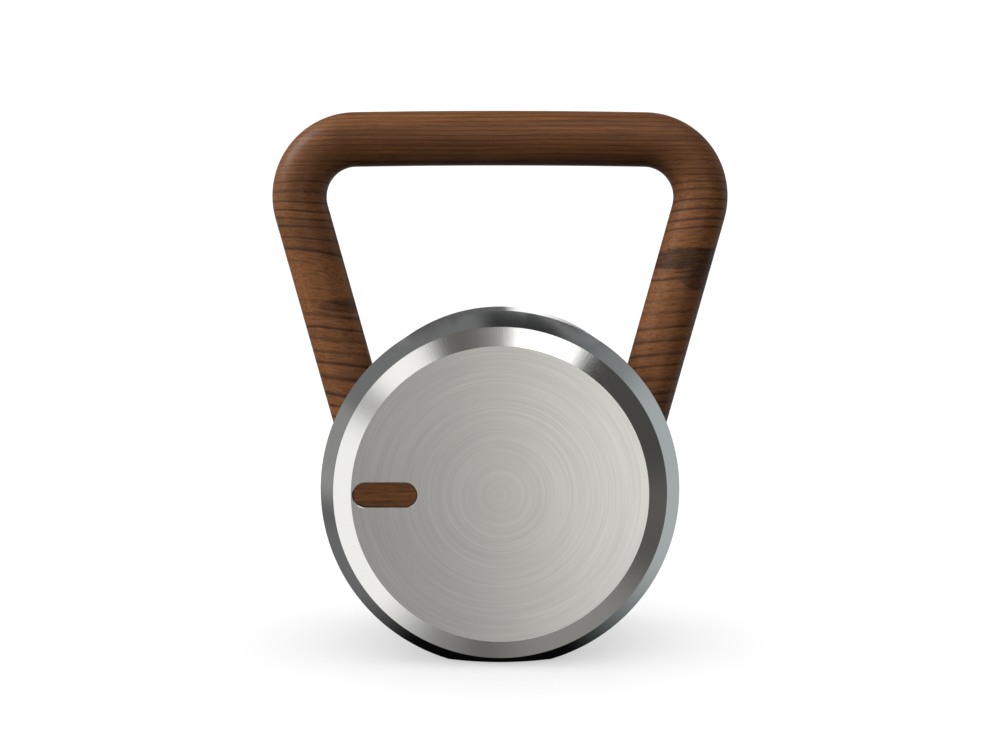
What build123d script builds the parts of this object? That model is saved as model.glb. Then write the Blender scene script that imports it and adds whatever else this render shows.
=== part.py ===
from build123d import *
from math import acos, asin, atan, atan2, cos, degrees, hypot, radians, sin, sqrt
import os

# Kettlebell: a hollow steel drum lying on its side, closed by two bevelled plates and loaded with ballast
# discs, with a walnut loop handle built round a steel core that is bolted to the drum from the inside.
# Millimetres, +Z up. The origin is on the floor under the middle of the drum. The drum's axis runs along Y,
# and the inlaid face looks towards -Y.

# --- Drum ---------------------------------------------------------------------------------------------
DRUM_RADIUS = 90.0
DRUM_LENGTH = 115.0
DRUM_BEVEL_WIDTH = 7.6  # radial
DRUM_BEVEL_DEPTH = 11.6  # along the axis
DRUM_WALL = 16.0  # at the ends, where the plates register
RELIEF_LENGTH = 50.0  # the bore is wider in the middle, for the handle's bolts
RELIEF_COVER = 1.4  # steel left between that wider bore and the seat of the handle's core
FLAT_DEPTH = 3.8  # how much of the round is planed off to stand on

# --- Foot pad, let into the flat ----------------------------------------------------------------------
PAD_WIDTH = 40.0
PAD_LENGTH = 72.0
PAD_CORNER = 6.0
PAD_THICKNESS = 3.0
PAD_PROUD = 0.8
PAD_GAP = 0.15

# --- Face plates --------------------------------------------------------------------------------------
PLATE_THICKNESS = 4.5  # outside the drum
PLATE_LAND = 0.3  # square edge left at the foot of the bevel
PLATE_BEVEL_WIDTH = 9.3  # radial
SPIGOT_LENGTH = 12.0  # inside the drum
SPIGOT_GAP = 0.1  # radial
BOSS_RADIUS = 16.0
BOSS_LENGTH = 8.0
SEAL_SECTION = 2.4
SEAL_GAP = 0.02
SEAL_GROOVE_WIDTH = 3.2
SEAL_GROOVE_DEPTH_IN = 9.2  # from the flange to the middle of the groove
KEY_DIAMETER = 4.0
KEY_LENGTH = 5.5
KEY_GAP = 0.05

# --- Inlay in the front plate -------------------------------------------------------------------------
INLAY_LENGTH = 31.5
INLAY_WIDTH = 12.0
INLAY_FROM_EDGE = 1.0  # from the round end of the inlay to the rim of the flat face
INLAY_THICKNESS = 2.6
INLAY_SUNK = 0.4
INLAY_GAP = 0.1
INLAY_RIM = 0.4  # bevel round the pocket's mouth

# --- Tie bolt through the middle ----------------------------------------------------------------------
TIE_DIAMETER = 12.0
TIE_THREAD_IN = 13.5  # engaged in the front plate's boss
TIE_HEAD_DIAMETER = 18.0
TIE_HEAD_HEIGHT = 12.0
TIE_SOCKET = 10.0  # across flats
TIE_SOCKET_DEPTH = 6.0
TIE_WASHER_DIAMETER = 20.0
TIE_WASHER_THICKNESS = 2.0
TIE_HEAD_SUNK = 1.0
TIE_HEAD_GAP = 0.5  # radial, round the washer
TIE_HOLE_GAP = 0.5  # radial, round the shank
TIE_TAP_EXTRA = 3.0  # tapped depth past the bolt's end

# --- Ballast ------------------------------------------------------------------------------------------
RATTLE_PAD_THICKNESS = 2.0
RATTLE_PAD_MARGIN = 12.0  # narrower than the disc it cushions
BALLAST_GAP = 3.2  # radial, to the drum's end bore and to the legs' blocks
MIDDLE_DISC_LENGTH = 37.0
BALLAST_BORE_GAP = 0.3  # radial, round the plates' bosses

# --- Handle -------------------------------------------------------------------------------------------
HANDLE_TOP = 280.5  # highest point of the bar above the floor
GRIP_DIAMETER = 28.4
BAR_HALF_LENGTH = 76.1  # from the middle to the start of the corner bend
BAR_CROWN = 0.67  # how much the bar rises in the middle
CORNER_RADIUS = 30.0  # of the centreline
LEG_INSET = 26.4  # how far inside the rim of the drum the line of a leg passes

# --- Steel core of the handle -------------------------------------------------------------------------
CORE_DIAMETER = 14.0
CORE_GAP = 0.1  # radial, in the walnut and in the drum
CORE_LAND = 0.5  # solid ring left round the seat of the core in the drum
CORE_SPLIT = 0.6  # gap between the two rods inside the coupler
COUPLER_WALL = 2.5
COUPLER_LENGTH = 60.0
COUPLER_GAP = 0.15
COUPLER_PIN_DIAMETER = 4.0
COUPLER_PIN_FROM_MIDDLE = 18.0
PIN_GAP = 0.02
SPLICE_DIAMETER = 4.0  # wooden dowels that line up the two halves
SPLICE_COVER = 0.95  # walnut left over the outer edge of a dowel hole
SPLICE_FROM_MIDDLE = 56.0  # along the bar
SPLICE_UP_LEG = (98.0, 138.0)  # heights along the leg
SPLICE_GAP = 0.05
SPLICE_END_GAP = 0.5

# --- Bolts that hold the core, from inside the drum ---------------------------------------------------
BOLT_DIAMETER = 8.0
BOLT_LENGTH = 60.0
BOLT_HEAD_DIAMETER = 13.0
BOLT_HEAD_HEIGHT = 8.0
BOLT_SOCKET = 6.0  # across flats
BOLT_SOCKET_DEPTH = 4.0
BOLT_HOLE_GAP = 0.3  # radial
BOLT_TAP_EXTRA = 4.0
BOLT_WASHER_DIAMETER = 16.0
BOLT_WASHER_THICKNESS = 1.6
BOLT_WASHER_GAP = 1.0  # to the bore's wall
BLOCK_DIAMETER = 22.0
THREAD_GAP = 0.02  # radial, where a thread stands as a plain fit

# --- Sizes that follow --------------------------------------------------------------------------------
FLAT_Z = PAD_PROUD
AXIS_Z = FLAT_Z + DRUM_RADIUS - FLAT_DEPTH
END_Y = DRUM_LENGTH / 2
FACE_Y = END_Y + PLATE_THICKNESS
BORE_RADIUS = DRUM_RADIUS - DRUM_WALL
PLATE_RADIUS = DRUM_RADIUS - DRUM_BEVEL_WIDTH
FACE_RADIUS = PLATE_RADIUS - PLATE_BEVEL_WIDTH
SPIGOT_RADIUS = BORE_RADIUS - SPIGOT_GAP
SPIGOT_Y = END_Y - SPIGOT_LENGTH
BOSS_Y = SPIGOT_Y - BOSS_LENGTH
SEAL_Y = END_Y - SEAL_GROOVE_DEPTH_IN
SEAL_RADIUS = BORE_RADIUS - SEAL_GAP - SEAL_SECTION / 2
SEAL_FLOOR_RADIUS = BORE_RADIUS - SEAL_SECTION - 2 * SEAL_GAP
BALLAST_RADIUS = BORE_RADIUS - BALLAST_GAP
BALLAST_Y = SPIGOT_Y - RATTLE_PAD_THICKNESS
TIE_SEAT_Y = FACE_Y - TIE_HEAD_SUNK - TIE_HEAD_HEIGHT
TIE_END_Y = -BOSS_Y - TIE_THREAD_IN
TIE_RECESS_DEPTH = TIE_HEAD_SUNK + TIE_HEAD_HEIGHT + TIE_WASHER_THICKNESS
INLAY_X = -(FACE_RADIUS - INLAY_FROM_EDGE - INLAY_LENGTH / 2)
POCKET_DEPTH = INLAY_THICKNESS + INLAY_SUNK
GRIP_RADIUS = GRIP_DIAMETER / 2
CORE_RADIUS = CORE_DIAMETER / 2
COUPLER_DIAMETER = CORE_DIAMETER + 2 * COUPLER_WALL
SPLICE_OFFSET = (CORE_RADIUS + GRIP_RADIUS) / 2  # from the centreline, in the middle of the walnut's wall
SPLICE_HOLE_RADIUS = SPLICE_DIAMETER / 2 + SPLICE_GAP
SPLICE_HOLE_DEPTH = sqrt(GRIP_RADIUS**2 - (SPLICE_OFFSET + SPLICE_HOLE_RADIUS) ** 2) - SPLICE_COVER
SPLICE_LENGTH = 2 * (SPLICE_HOLE_DEPTH - SPLICE_END_GAP)

# The handle's line lies in the XZ plane. A leg is the straight line that touches both the corner's arc and a
# circle of radius LEG_CIRCLE about the drum's axis. Its foot is where it touches that circle, and places on
# it are given as the height above the foot.
LEG_CIRCLE = DRUM_RADIUS - LEG_INSET
BAR_Z = HANDLE_TOP - GRIP_RADIUS
BAR_TURN = 2 * degrees(atan(BAR_CROWN / BAR_HALF_LENGTH))
BAR_CURVE = BAR_HALF_LENGTH / sin(radians(BAR_TURN))
CORNER_X = BAR_HALF_LENGTH - CORNER_RADIUS * sin(radians(BAR_TURN))
CORNER_Z = BAR_Z - BAR_CROWN - CORNER_RADIUS * cos(radians(BAR_TURN))
CORNER_REACH = hypot(CORNER_X, CORNER_Z - AXIS_Z)
LEG_LEAN = degrees(acos((LEG_CIRCLE - CORNER_RADIUS) / CORNER_REACH) - atan2(CORNER_Z - AXIS_Z, CORNER_X))
CORNER_TURN = 90 + LEG_LEAN - BAR_TURN
LEG_TOP = sqrt(CORNER_REACH**2 - (LEG_CIRCLE - CORNER_RADIUS) ** 2)

SIDES = (("left", -1), ("right", 1))
ENDS = (("front", -1), ("rear", 1))
DRUM_AXIS = Axis((0, 0, AXIS_Z), (0, 1, 0))
SECTION = Plane(origin=(0, 0, AXIS_Z), x_dir=(0, 1, 0), z_dir=(1, 0, 0))  # x along the drum, y outwards
MIDDLE = Plane(origin=(0, 0, AXIS_Z), x_dir=(1, 0, 0), z_dir=(0, -1, 0))


def height_at(radius, offset=0.0):
    """Height on a leg, or on a line beside it, where it meets a circle about the drum's axis."""
    return sqrt(radius**2 - (LEG_CIRCLE + offset) ** 2)


CORE_SEAT = height_at(DRUM_RADIUS, CORE_RADIUS + CORE_GAP) - CORE_LAND
RELIEF_RADIUS = hypot(CORE_SEAT - RELIEF_COVER, LEG_CIRCLE - CORE_RADIUS - CORE_GAP)
GRIP_START = height_at(DRUM_RADIUS, GRIP_RADIUS) - CORE_LAND
BLOCK_SEAT = height_at(RELIEF_RADIUS - BOLT_WASHER_GAP - BOLT_WASHER_DIAMETER / 2)
BOLT_SEAT = BLOCK_SEAT - BOLT_WASHER_THICKNESS
BOLT_END = BOLT_SEAT + BOLT_LENGTH
DRUM_TOP_OF_LEG = height_at(DRUM_RADIUS, -GRIP_RADIUS)


def leg_point(side, height, offset=0.0):
    """Point (x, z) on a leg's line, or offset outwards from it, at a height above the foot."""
    out = LEG_CIRCLE + offset
    lean = radians(LEG_LEAN)
    return side * (out * cos(lean) + height * sin(lean)), AXIS_Z - out * sin(lean) + height * cos(lean)


def leg_plane(side, height):
    """Plane across a leg, facing up the leg."""
    x, z = leg_point(side, height)
    lean = radians(LEG_LEAN)
    return Plane(origin=(x, 0, z), x_dir=(0, 1, 0), z_dir=(side * sin(lean), 0, cos(lean)))


def bar_point(x, offset=0.0):
    """Point (x, z) on the crowned bar, or offset outwards from it."""
    turn = asin(x / BAR_CURVE)
    out = BAR_CURVE + offset
    return out * sin(turn), BAR_Z - BAR_CURVE + out * cos(turn)


def end_plane(end, y):
    """Plane across the drum at a distance from its middle, facing outwards at that end, with y upwards."""
    return Plane(origin=(0, end * y, AXIS_Z), x_dir=(-end, 0, 0), z_dir=(0, end, 0))


def save(part, name):
    """Labels a finished piece and writes it."""
    part.label = name
    export_step(part, f"parts/{name}.step")


os.makedirs("parts", exist_ok=True)

# Where the two halves of the walnut are pegged together, in the XZ plane
SPLICES = []
for _, side in SIDES:
    for height, offset in zip(SPLICE_UP_LEG, (SPLICE_OFFSET, -SPLICE_OFFSET)):
        SPLICES.append(leg_point(side, height, offset))
        SPLICES.append(bar_point(side * SPLICE_FROM_MIDDLE, offset))

# --- Drum ---------------------------------------------------------------------------------------------
with BuildPart() as weight_drum:
    with BuildSketch(SECTION):
        with BuildLine():
            Polyline(
                (0, RELIEF_RADIUS),
                (RELIEF_LENGTH / 2, RELIEF_RADIUS),
                (RELIEF_LENGTH / 2, BORE_RADIUS),
                (END_Y, BORE_RADIUS),
                (END_Y, PLATE_RADIUS),
                (END_Y - DRUM_BEVEL_DEPTH, DRUM_RADIUS),
                (0, DRUM_RADIUS),
                close=True,
            )
        make_face()
        mirror(about=Plane.YZ)
    revolve(axis=DRUM_AXIS)
    with Locations((0, 0, FLAT_Z)):
        Box(2 * DRUM_RADIUS, DRUM_LENGTH, DRUM_RADIUS,
            align=(Align.CENTER, Align.CENTER, Align.MAX), mode=Mode.SUBTRACT)
    with BuildSketch(Plane.XY.offset(FLAT_Z)):
        RectangleRounded(PAD_WIDTH + 2 * PAD_GAP, PAD_LENGTH + 2 * PAD_GAP, PAD_CORNER + PAD_GAP)
    extrude(amount=PAD_THICKNESS - PAD_PROUD, mode=Mode.SUBTRACT)
    # Sockets for the ends of the handle's core, with a bolt hole on through the wall
    for _, side in SIDES:
        with BuildSketch(leg_plane(side, CORE_SEAT)):
            Circle(CORE_RADIUS + CORE_GAP)
        extrude(amount=DRUM_TOP_OF_LEG - CORE_SEAT, mode=Mode.SUBTRACT)
        with BuildSketch(leg_plane(side, 0)):
            Circle(BOLT_DIAMETER / 2 + BOLT_HOLE_GAP)
        extrude(amount=CORE_SEAT, mode=Mode.SUBTRACT)
    # Half of each plate's key hole, at the bottom of the bore
    for _, end in ENDS:
        with BuildSketch(end_plane(end, END_Y)):
            with Locations((0, -BORE_RADIUS)):
                Circle(KEY_DIAMETER / 2 + KEY_GAP)
        extrude(amount=-(KEY_LENGTH + KEY_GAP), mode=Mode.SUBTRACT)
save(weight_drum.part, "weight_drum")

with BuildPart() as foot_pad:
    with BuildSketch(Plane.XY):
        RectangleRounded(PAD_WIDTH, PAD_LENGTH, PAD_CORNER)
    extrude(amount=PAD_THICKNESS)
save(foot_pad.part, "foot_pad")

# --- Face plates, seals and keys ----------------------------------------------------------------------
PLATE_OUTLINE = (
    (BOSS_Y, 0),
    (BOSS_Y, BOSS_RADIUS),
    (SPIGOT_Y, BOSS_RADIUS),
    (SPIGOT_Y, SPIGOT_RADIUS),
    (SEAL_Y - SEAL_GROOVE_WIDTH / 2, SPIGOT_RADIUS),
    (SEAL_Y - SEAL_GROOVE_WIDTH / 2, SEAL_FLOOR_RADIUS),
    (SEAL_Y + SEAL_GROOVE_WIDTH / 2, SEAL_FLOOR_RADIUS),
    (SEAL_Y + SEAL_GROOVE_WIDTH / 2, SPIGOT_RADIUS),
    (END_Y, SPIGOT_RADIUS),
    (END_Y, PLATE_RADIUS),
    (END_Y + PLATE_LAND, PLATE_RADIUS),
    (FACE_Y, FACE_RADIUS),
    (FACE_Y, 0),
)

with BuildPart() as front_face_plate:
    with BuildSketch(SECTION):
        with BuildLine():
            Polyline(*[(-y, r) for y, r in PLATE_OUTLINE], close=True)
        make_face()
    revolve(axis=DRUM_AXIS)
    # Blind tapped hole for the tie bolt
    with BuildSketch(end_plane(-1, BOSS_Y)):
        Circle(TIE_DIAMETER / 2 + THREAD_GAP)
    extrude(amount=-TIE_END_Y - BOSS_Y + TIE_TAP_EXTRA, mode=Mode.SUBTRACT)
    with BuildSketch(end_plane(-1, END_Y)):
        with Locations((0, -BORE_RADIUS)):
            Circle(KEY_DIAMETER / 2 + KEY_GAP)
    extrude(amount=-(KEY_LENGTH + KEY_GAP), mode=Mode.SUBTRACT)
    # Pocket for the inlay, with a bevelled mouth
    with BuildSketch(end_plane(-1, FACE_Y - POCKET_DEPTH)):
        with Locations((INLAY_X, 0)):
            SlotOverall(INLAY_LENGTH, INLAY_WIDTH)
    extrude(amount=POCKET_DEPTH, mode=Mode.SUBTRACT)
    mouth = front_face_plate.faces().sort_by(Axis.Y)[0].inner_wires().edges()
    chamfer(mouth, length=INLAY_RIM)
save(front_face_plate.part, "front_face_plate")

with BuildPart() as rear_face_plate:
    with BuildSketch(SECTION):
        with BuildLine():
            Polyline(*PLATE_OUTLINE, close=True)
        make_face()
    revolve(axis=DRUM_AXIS)
    with Locations(end_plane(1, FACE_Y)):
        CounterBoreHole(
            radius=TIE_DIAMETER / 2 + TIE_HOLE_GAP,
            counter_bore_radius=TIE_WASHER_DIAMETER / 2 + TIE_HEAD_GAP,
            counter_bore_depth=TIE_RECESS_DEPTH,
        )
    with BuildSketch(end_plane(1, END_Y)):
        with Locations((0, -BORE_RADIUS)):
            Circle(KEY_DIAMETER / 2 + KEY_GAP)
    extrude(amount=-(KEY_LENGTH + KEY_GAP), mode=Mode.SUBTRACT)
save(rear_face_plate.part, "rear_face_plate")

with BuildPart() as face_inlay:
    with BuildSketch(end_plane(-1, FACE_Y - POCKET_DEPTH)):
        with Locations((INLAY_X, 0)):
            SlotOverall(INLAY_LENGTH - 2 * INLAY_GAP, INLAY_WIDTH - 2 * INLAY_GAP)
    extrude(amount=INLAY_THICKNESS)
save(face_inlay.part, "face_inlay")

for name, end in ENDS:
    with BuildPart() as seal_ring:
        with BuildSketch(SECTION):
            with Locations((end * SEAL_Y, SEAL_RADIUS)):
                Circle(SEAL_SECTION / 2)
        revolve(axis=DRUM_AXIS)
    save(seal_ring.part, f"{name}_seal_ring")

    with BuildPart() as plate_key:
        with BuildSketch(end_plane(end, END_Y)):
            with Locations((0, -BORE_RADIUS)):
                Circle(KEY_DIAMETER / 2)
        extrude(amount=-KEY_LENGTH)
    save(plate_key.part, f"{name}_plate_key")

# --- Ballast and the pads that stop it rattling -------------------------------------------------------
for name, end in ENDS:
    with BuildPart() as rattle_pad:
        with BuildSketch(end_plane(end, SPIGOT_Y)):
            Circle(BALLAST_RADIUS - RATTLE_PAD_MARGIN)
            Circle(BOSS_RADIUS + BALLAST_BORE_GAP, mode=Mode.SUBTRACT)
        extrude(amount=-RATTLE_PAD_THICKNESS)
    save(rattle_pad.part, f"{name}_rattle_pad")

    with BuildPart() as ballast_disc:
        with BuildSketch(end_plane(end, MIDDLE_DISC_LENGTH / 2)):
            Circle(BALLAST_RADIUS)
        extrude(amount=BALLAST_Y - MIDDLE_DISC_LENGTH / 2)
        with Locations(end_plane(end, BALLAST_Y)):
            CounterBoreHole(
                radius=TIE_DIAMETER / 2 + TIE_HOLE_GAP,
                counter_bore_radius=BOSS_RADIUS + BALLAST_BORE_GAP,
                counter_bore_depth=BALLAST_Y - BOSS_Y + BALLAST_BORE_GAP,
            )
    save(ballast_disc.part, f"{name}_ballast_disc")

with BuildPart() as middle_ballast_disc:
    with BuildSketch(MIDDLE):
        Circle(LEG_CIRCLE - BLOCK_DIAMETER / 2 - BALLAST_GAP)
        Circle(TIE_DIAMETER / 2 + TIE_HOLE_GAP, mode=Mode.SUBTRACT)
    extrude(amount=MIDDLE_DISC_LENGTH / 2, both=True)
save(middle_ballast_disc.part, "middle_ballast_disc")

# --- Tie bolt -----------------------------------------------------------------------------------------
with BuildPart() as tie_bolt:
    with BuildSketch(end_plane(1, TIE_SEAT_Y)):
        Circle(TIE_HEAD_DIAMETER / 2)
    extrude(amount=TIE_HEAD_HEIGHT)
    with BuildSketch(end_plane(1, TIE_SEAT_Y + TIE_HEAD_HEIGHT - TIE_SOCKET_DEPTH)):
        RegularPolygon(TIE_SOCKET / 2, side_count=6, major_radius=False)
    extrude(amount=TIE_SOCKET_DEPTH, mode=Mode.SUBTRACT)
    with BuildSketch(end_plane(1, TIE_SEAT_Y)):
        Circle(TIE_DIAMETER / 2)
    extrude(amount=TIE_END_Y - TIE_SEAT_Y)
save(tie_bolt.part, "tie_bolt")

with BuildPart() as tie_bolt_washer:
    with BuildSketch(end_plane(1, TIE_SEAT_Y)):
        Circle(TIE_WASHER_DIAMETER / 2)
        Circle(TIE_DIAMETER / 2 + TIE_HOLE_GAP, mode=Mode.SUBTRACT)
    extrude(amount=-TIE_WASHER_THICKNESS)
save(tie_bolt_washer.part, "tie_bolt_washer")

# --- What holds each leg, inside the drum -------------------------------------------------------------
for name, side in SIDES:
    with BuildPart() as saddle_block:
        with BuildSketch(leg_plane(side, BLOCK_SEAT)):
            Circle(BLOCK_DIAMETER / 2)
            Circle(BOLT_DIAMETER / 2 + BOLT_HOLE_GAP, mode=Mode.SUBTRACT)
        extrude(amount=height_at(RELIEF_RADIUS, -BLOCK_DIAMETER / 2) - BLOCK_SEAT + CORE_LAND)
        with BuildSketch(MIDDLE):
            Circle(RELIEF_RADIUS)
        extrude(amount=BLOCK_DIAMETER, both=True, mode=Mode.INTERSECT)
    save(saddle_block.part, f"{name}_saddle_block")

    with BuildPart() as bolt_washer:
        with BuildSketch(leg_plane(side, BOLT_SEAT)):
            Circle(BOLT_WASHER_DIAMETER / 2)
            Circle(BOLT_DIAMETER / 2 + BOLT_HOLE_GAP, mode=Mode.SUBTRACT)
        extrude(amount=BOLT_WASHER_THICKNESS)
    save(bolt_washer.part, f"{name}_bolt_washer")

    with BuildPart() as handle_bolt:
        with BuildSketch(leg_plane(side, BOLT_SEAT)):
            Circle(BOLT_HEAD_DIAMETER / 2)
        extrude(amount=-BOLT_HEAD_HEIGHT)
        with BuildSketch(leg_plane(side, BOLT_SEAT - BOLT_HEAD_HEIGHT)):
            RegularPolygon(BOLT_SOCKET / 2, side_count=6, major_radius=False)
        extrude(amount=BOLT_SOCKET_DEPTH, mode=Mode.SUBTRACT)
        with BuildSketch(leg_plane(side, BOLT_SEAT)):
            Circle(BOLT_DIAMETER / 2)
        extrude(amount=BOLT_LENGTH)
    save(handle_bolt.part, f"{name}_handle_bolt")

# --- Core of the handle: two bent rods joined by a pinned coupler -------------------------------------
for name, side in SIDES:
    with BuildPart() as core_rod:
        with BuildLine(Plane.XZ):
            bar = JernArc((0, BAR_Z), (side, 0), radius=BAR_CURVE, arc_size=-side * BAR_TURN)
            corner = JernArc(bar @ 1, bar % 1, radius=CORNER_RADIUS, arc_size=-side * CORNER_TURN)
            Line(corner @ 1, leg_point(side, CORE_SEAT))
        with BuildSketch(Plane(origin=(0, 0, BAR_Z), z_dir=(side, 0, 0))):
            Circle(CORE_RADIUS)
        sweep()
        with Locations((0, 0, BAR_Z)):
            Box(CORE_SPLIT, CORE_DIAMETER * 2, CORE_DIAMETER * 2, mode=Mode.SUBTRACT)
        with BuildSketch(leg_plane(side, CORE_SEAT)):
            Circle(BOLT_DIAMETER / 2 + THREAD_GAP)
        extrude(amount=BOLT_END - CORE_SEAT + BOLT_TAP_EXTRA, mode=Mode.SUBTRACT)
        with BuildSketch(Plane.XZ):
            with Locations(bar_point(side * COUPLER_PIN_FROM_MIDDLE)):
                Circle(COUPLER_PIN_DIAMETER / 2 + PIN_GAP)
        extrude(amount=CORE_DIAMETER, both=True, mode=Mode.SUBTRACT)
    save(core_rod.part, f"{name}_core_rod")


def coupler_line(length):
    """The crowned bar's line, a length long about the middle, in the XZ plane."""
    reach = degrees(length / 2 / BAR_CURVE)
    x, z = bar_point(-length / 2)
    return JernArc(start=(x, z), tangent=(cos(radians(reach)), sin(radians(reach))),
                   radius=BAR_CURVE, arc_size=-2 * reach)


with BuildPart() as core_coupler:
    with BuildLine(Plane.XZ):
        run = coupler_line(COUPLER_LENGTH)
    with BuildSketch(Plane(origin=run @ 0, z_dir=run % 0)):
        Circle(COUPLER_DIAMETER / 2)
        Circle(CORE_RADIUS + PIN_GAP, mode=Mode.SUBTRACT)
    sweep()
    with BuildSketch(Plane.XZ):
        with Locations(*[bar_point(side * COUPLER_PIN_FROM_MIDDLE) for _, side in SIDES]):
            Circle(COUPLER_PIN_DIAMETER / 2 + PIN_GAP)
    extrude(amount=COUPLER_DIAMETER, both=True, mode=Mode.SUBTRACT)
save(core_coupler.part, "core_coupler")

with BuildPart() as coupler_pins:
    with BuildSketch(Plane.XZ):
        with Locations(*[bar_point(side * COUPLER_PIN_FROM_MIDDLE) for _, side in SIDES]):
            Circle(COUPLER_PIN_DIAMETER / 2)
    extrude(amount=COUPLER_DIAMETER / 2 - CORE_LAND, both=True)
save(coupler_pins.part, "coupler_pins")

# --- Walnut of the handle: a front and a rear half, glued round the core ------------------------------
for name, end in ENDS:
    with BuildPart() as handle_half:
        with BuildLine(Plane.XZ) as loop:
            bar = JernArc((0, BAR_Z), (1, 0), radius=BAR_CURVE, arc_size=-BAR_TURN)
            corner = JernArc(bar @ 1, bar % 1, radius=CORNER_RADIUS, arc_size=-CORNER_TURN)
            Line(corner @ 1, leg_point(1, GRIP_START))
            mirror(about=Plane.YZ)
        foot = leg_plane(-1, GRIP_START)
        with BuildSketch(foot):
            Circle(GRIP_RADIUS)
            Circle(CORE_RADIUS + CORE_GAP, mode=Mode.SUBTRACT)
        sweep(path=loop.wires()[0])
        with BuildLine(Plane.XZ):
            run = coupler_line(COUPLER_LENGTH + 2 * COUPLER_GAP)
        with BuildSketch(Plane(origin=run @ 0, z_dir=run % 0)):
            Circle(COUPLER_DIAMETER / 2 + COUPLER_GAP)
        sweep(path=run, mode=Mode.SUBTRACT)
        with BuildSketch(Plane.XZ):
            with Locations(*SPLICES):
                Circle(SPLICE_HOLE_RADIUS)
        extrude(amount=SPLICE_HOLE_DEPTH, both=True, mode=Mode.SUBTRACT)
        # The ends are coped to sit on the drum
        with BuildSketch(MIDDLE):
            Circle(DRUM_RADIUS)
        extrude(amount=GRIP_DIAMETER, both=True, mode=Mode.SUBTRACT)
        split(bisect_by=Plane.XZ, keep=Keep.TOP if end < 0 else Keep.BOTTOM)
    save(handle_half.part, f"handle_{name}_half")

with BuildPart() as handle_splices:
    with BuildSketch(Plane.XZ):
        with Locations(*SPLICES):
            Circle(SPLICE_DIAMETER / 2)
    extrude(amount=SPLICE_LENGTH / 2, both=True)
save(handle_splices.part, "handle_splices")
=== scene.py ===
"""Kettlebell: a bevelled steel drum lying on its round, with a walnut loop handle and a walnut inlay.

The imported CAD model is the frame. The pieces that show are built again here with rounded edges and smooth
faces; the pieces inside the drum and the handle stay as they are and get their finishes. Metres throughout,
+Z up, with the inlaid face of the drum towards -Y.
"""
import logging
import math
from dataclasses import dataclass
from enum import Enum
from typing import Sequence, Union

import bmesh
import bpy
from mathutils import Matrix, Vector


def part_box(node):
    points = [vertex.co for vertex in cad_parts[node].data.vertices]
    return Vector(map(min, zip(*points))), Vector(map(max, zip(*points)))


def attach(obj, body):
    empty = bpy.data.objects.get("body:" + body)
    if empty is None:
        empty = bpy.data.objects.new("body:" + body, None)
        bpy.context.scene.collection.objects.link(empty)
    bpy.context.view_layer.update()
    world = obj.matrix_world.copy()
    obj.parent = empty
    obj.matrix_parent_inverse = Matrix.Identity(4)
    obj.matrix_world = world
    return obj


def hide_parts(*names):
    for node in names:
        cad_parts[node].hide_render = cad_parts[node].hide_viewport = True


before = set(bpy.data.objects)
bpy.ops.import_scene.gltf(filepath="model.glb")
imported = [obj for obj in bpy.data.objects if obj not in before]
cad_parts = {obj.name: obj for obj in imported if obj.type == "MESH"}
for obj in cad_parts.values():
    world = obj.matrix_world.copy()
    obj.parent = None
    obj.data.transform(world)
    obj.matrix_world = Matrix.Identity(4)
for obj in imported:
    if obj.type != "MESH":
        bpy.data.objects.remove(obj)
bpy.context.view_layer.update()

MM = 0.001
TO_DEGREES = 180 / math.pi
ROOT = "root"
SAME_PLACE = 1e-7  # metres between points that are one
log = logging.getLogger("kettlebell")

Point2 = tuple[float, float]
Colour = tuple[float, float, float]
Value = Union[float, Sequence[float], bpy.types.NodeSocket]
Sockets = dict[str, bpy.types.NodeSocket]
Ring = Sequence[bmesh.types.BMVert]
Rings = Sequence[Ring]


# --- Named options -------------------------------------------------------------------------------------


class Slot(Enum):
    """The record's material slots."""

    DRUM = "drum_steel"
    PLATE = "plate_steel"
    CORE = "core_steel"
    BOLT = "bolt_steel"
    BALLAST = "ballast_steel"
    HANDLE = "handle_walnut"
    INLAY = "inlay_walnut"
    SPLICE = "splice_wood"
    INNER_RUBBER = "inner_rubber"
    FOOT = "foot_rubber"


class End(Enum):
    """The two ends of the drum, by the sign of y."""

    FRONT = -1
    REAR = 1


# --- Node trees ----------------------------------------------------------------------------------------


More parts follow.
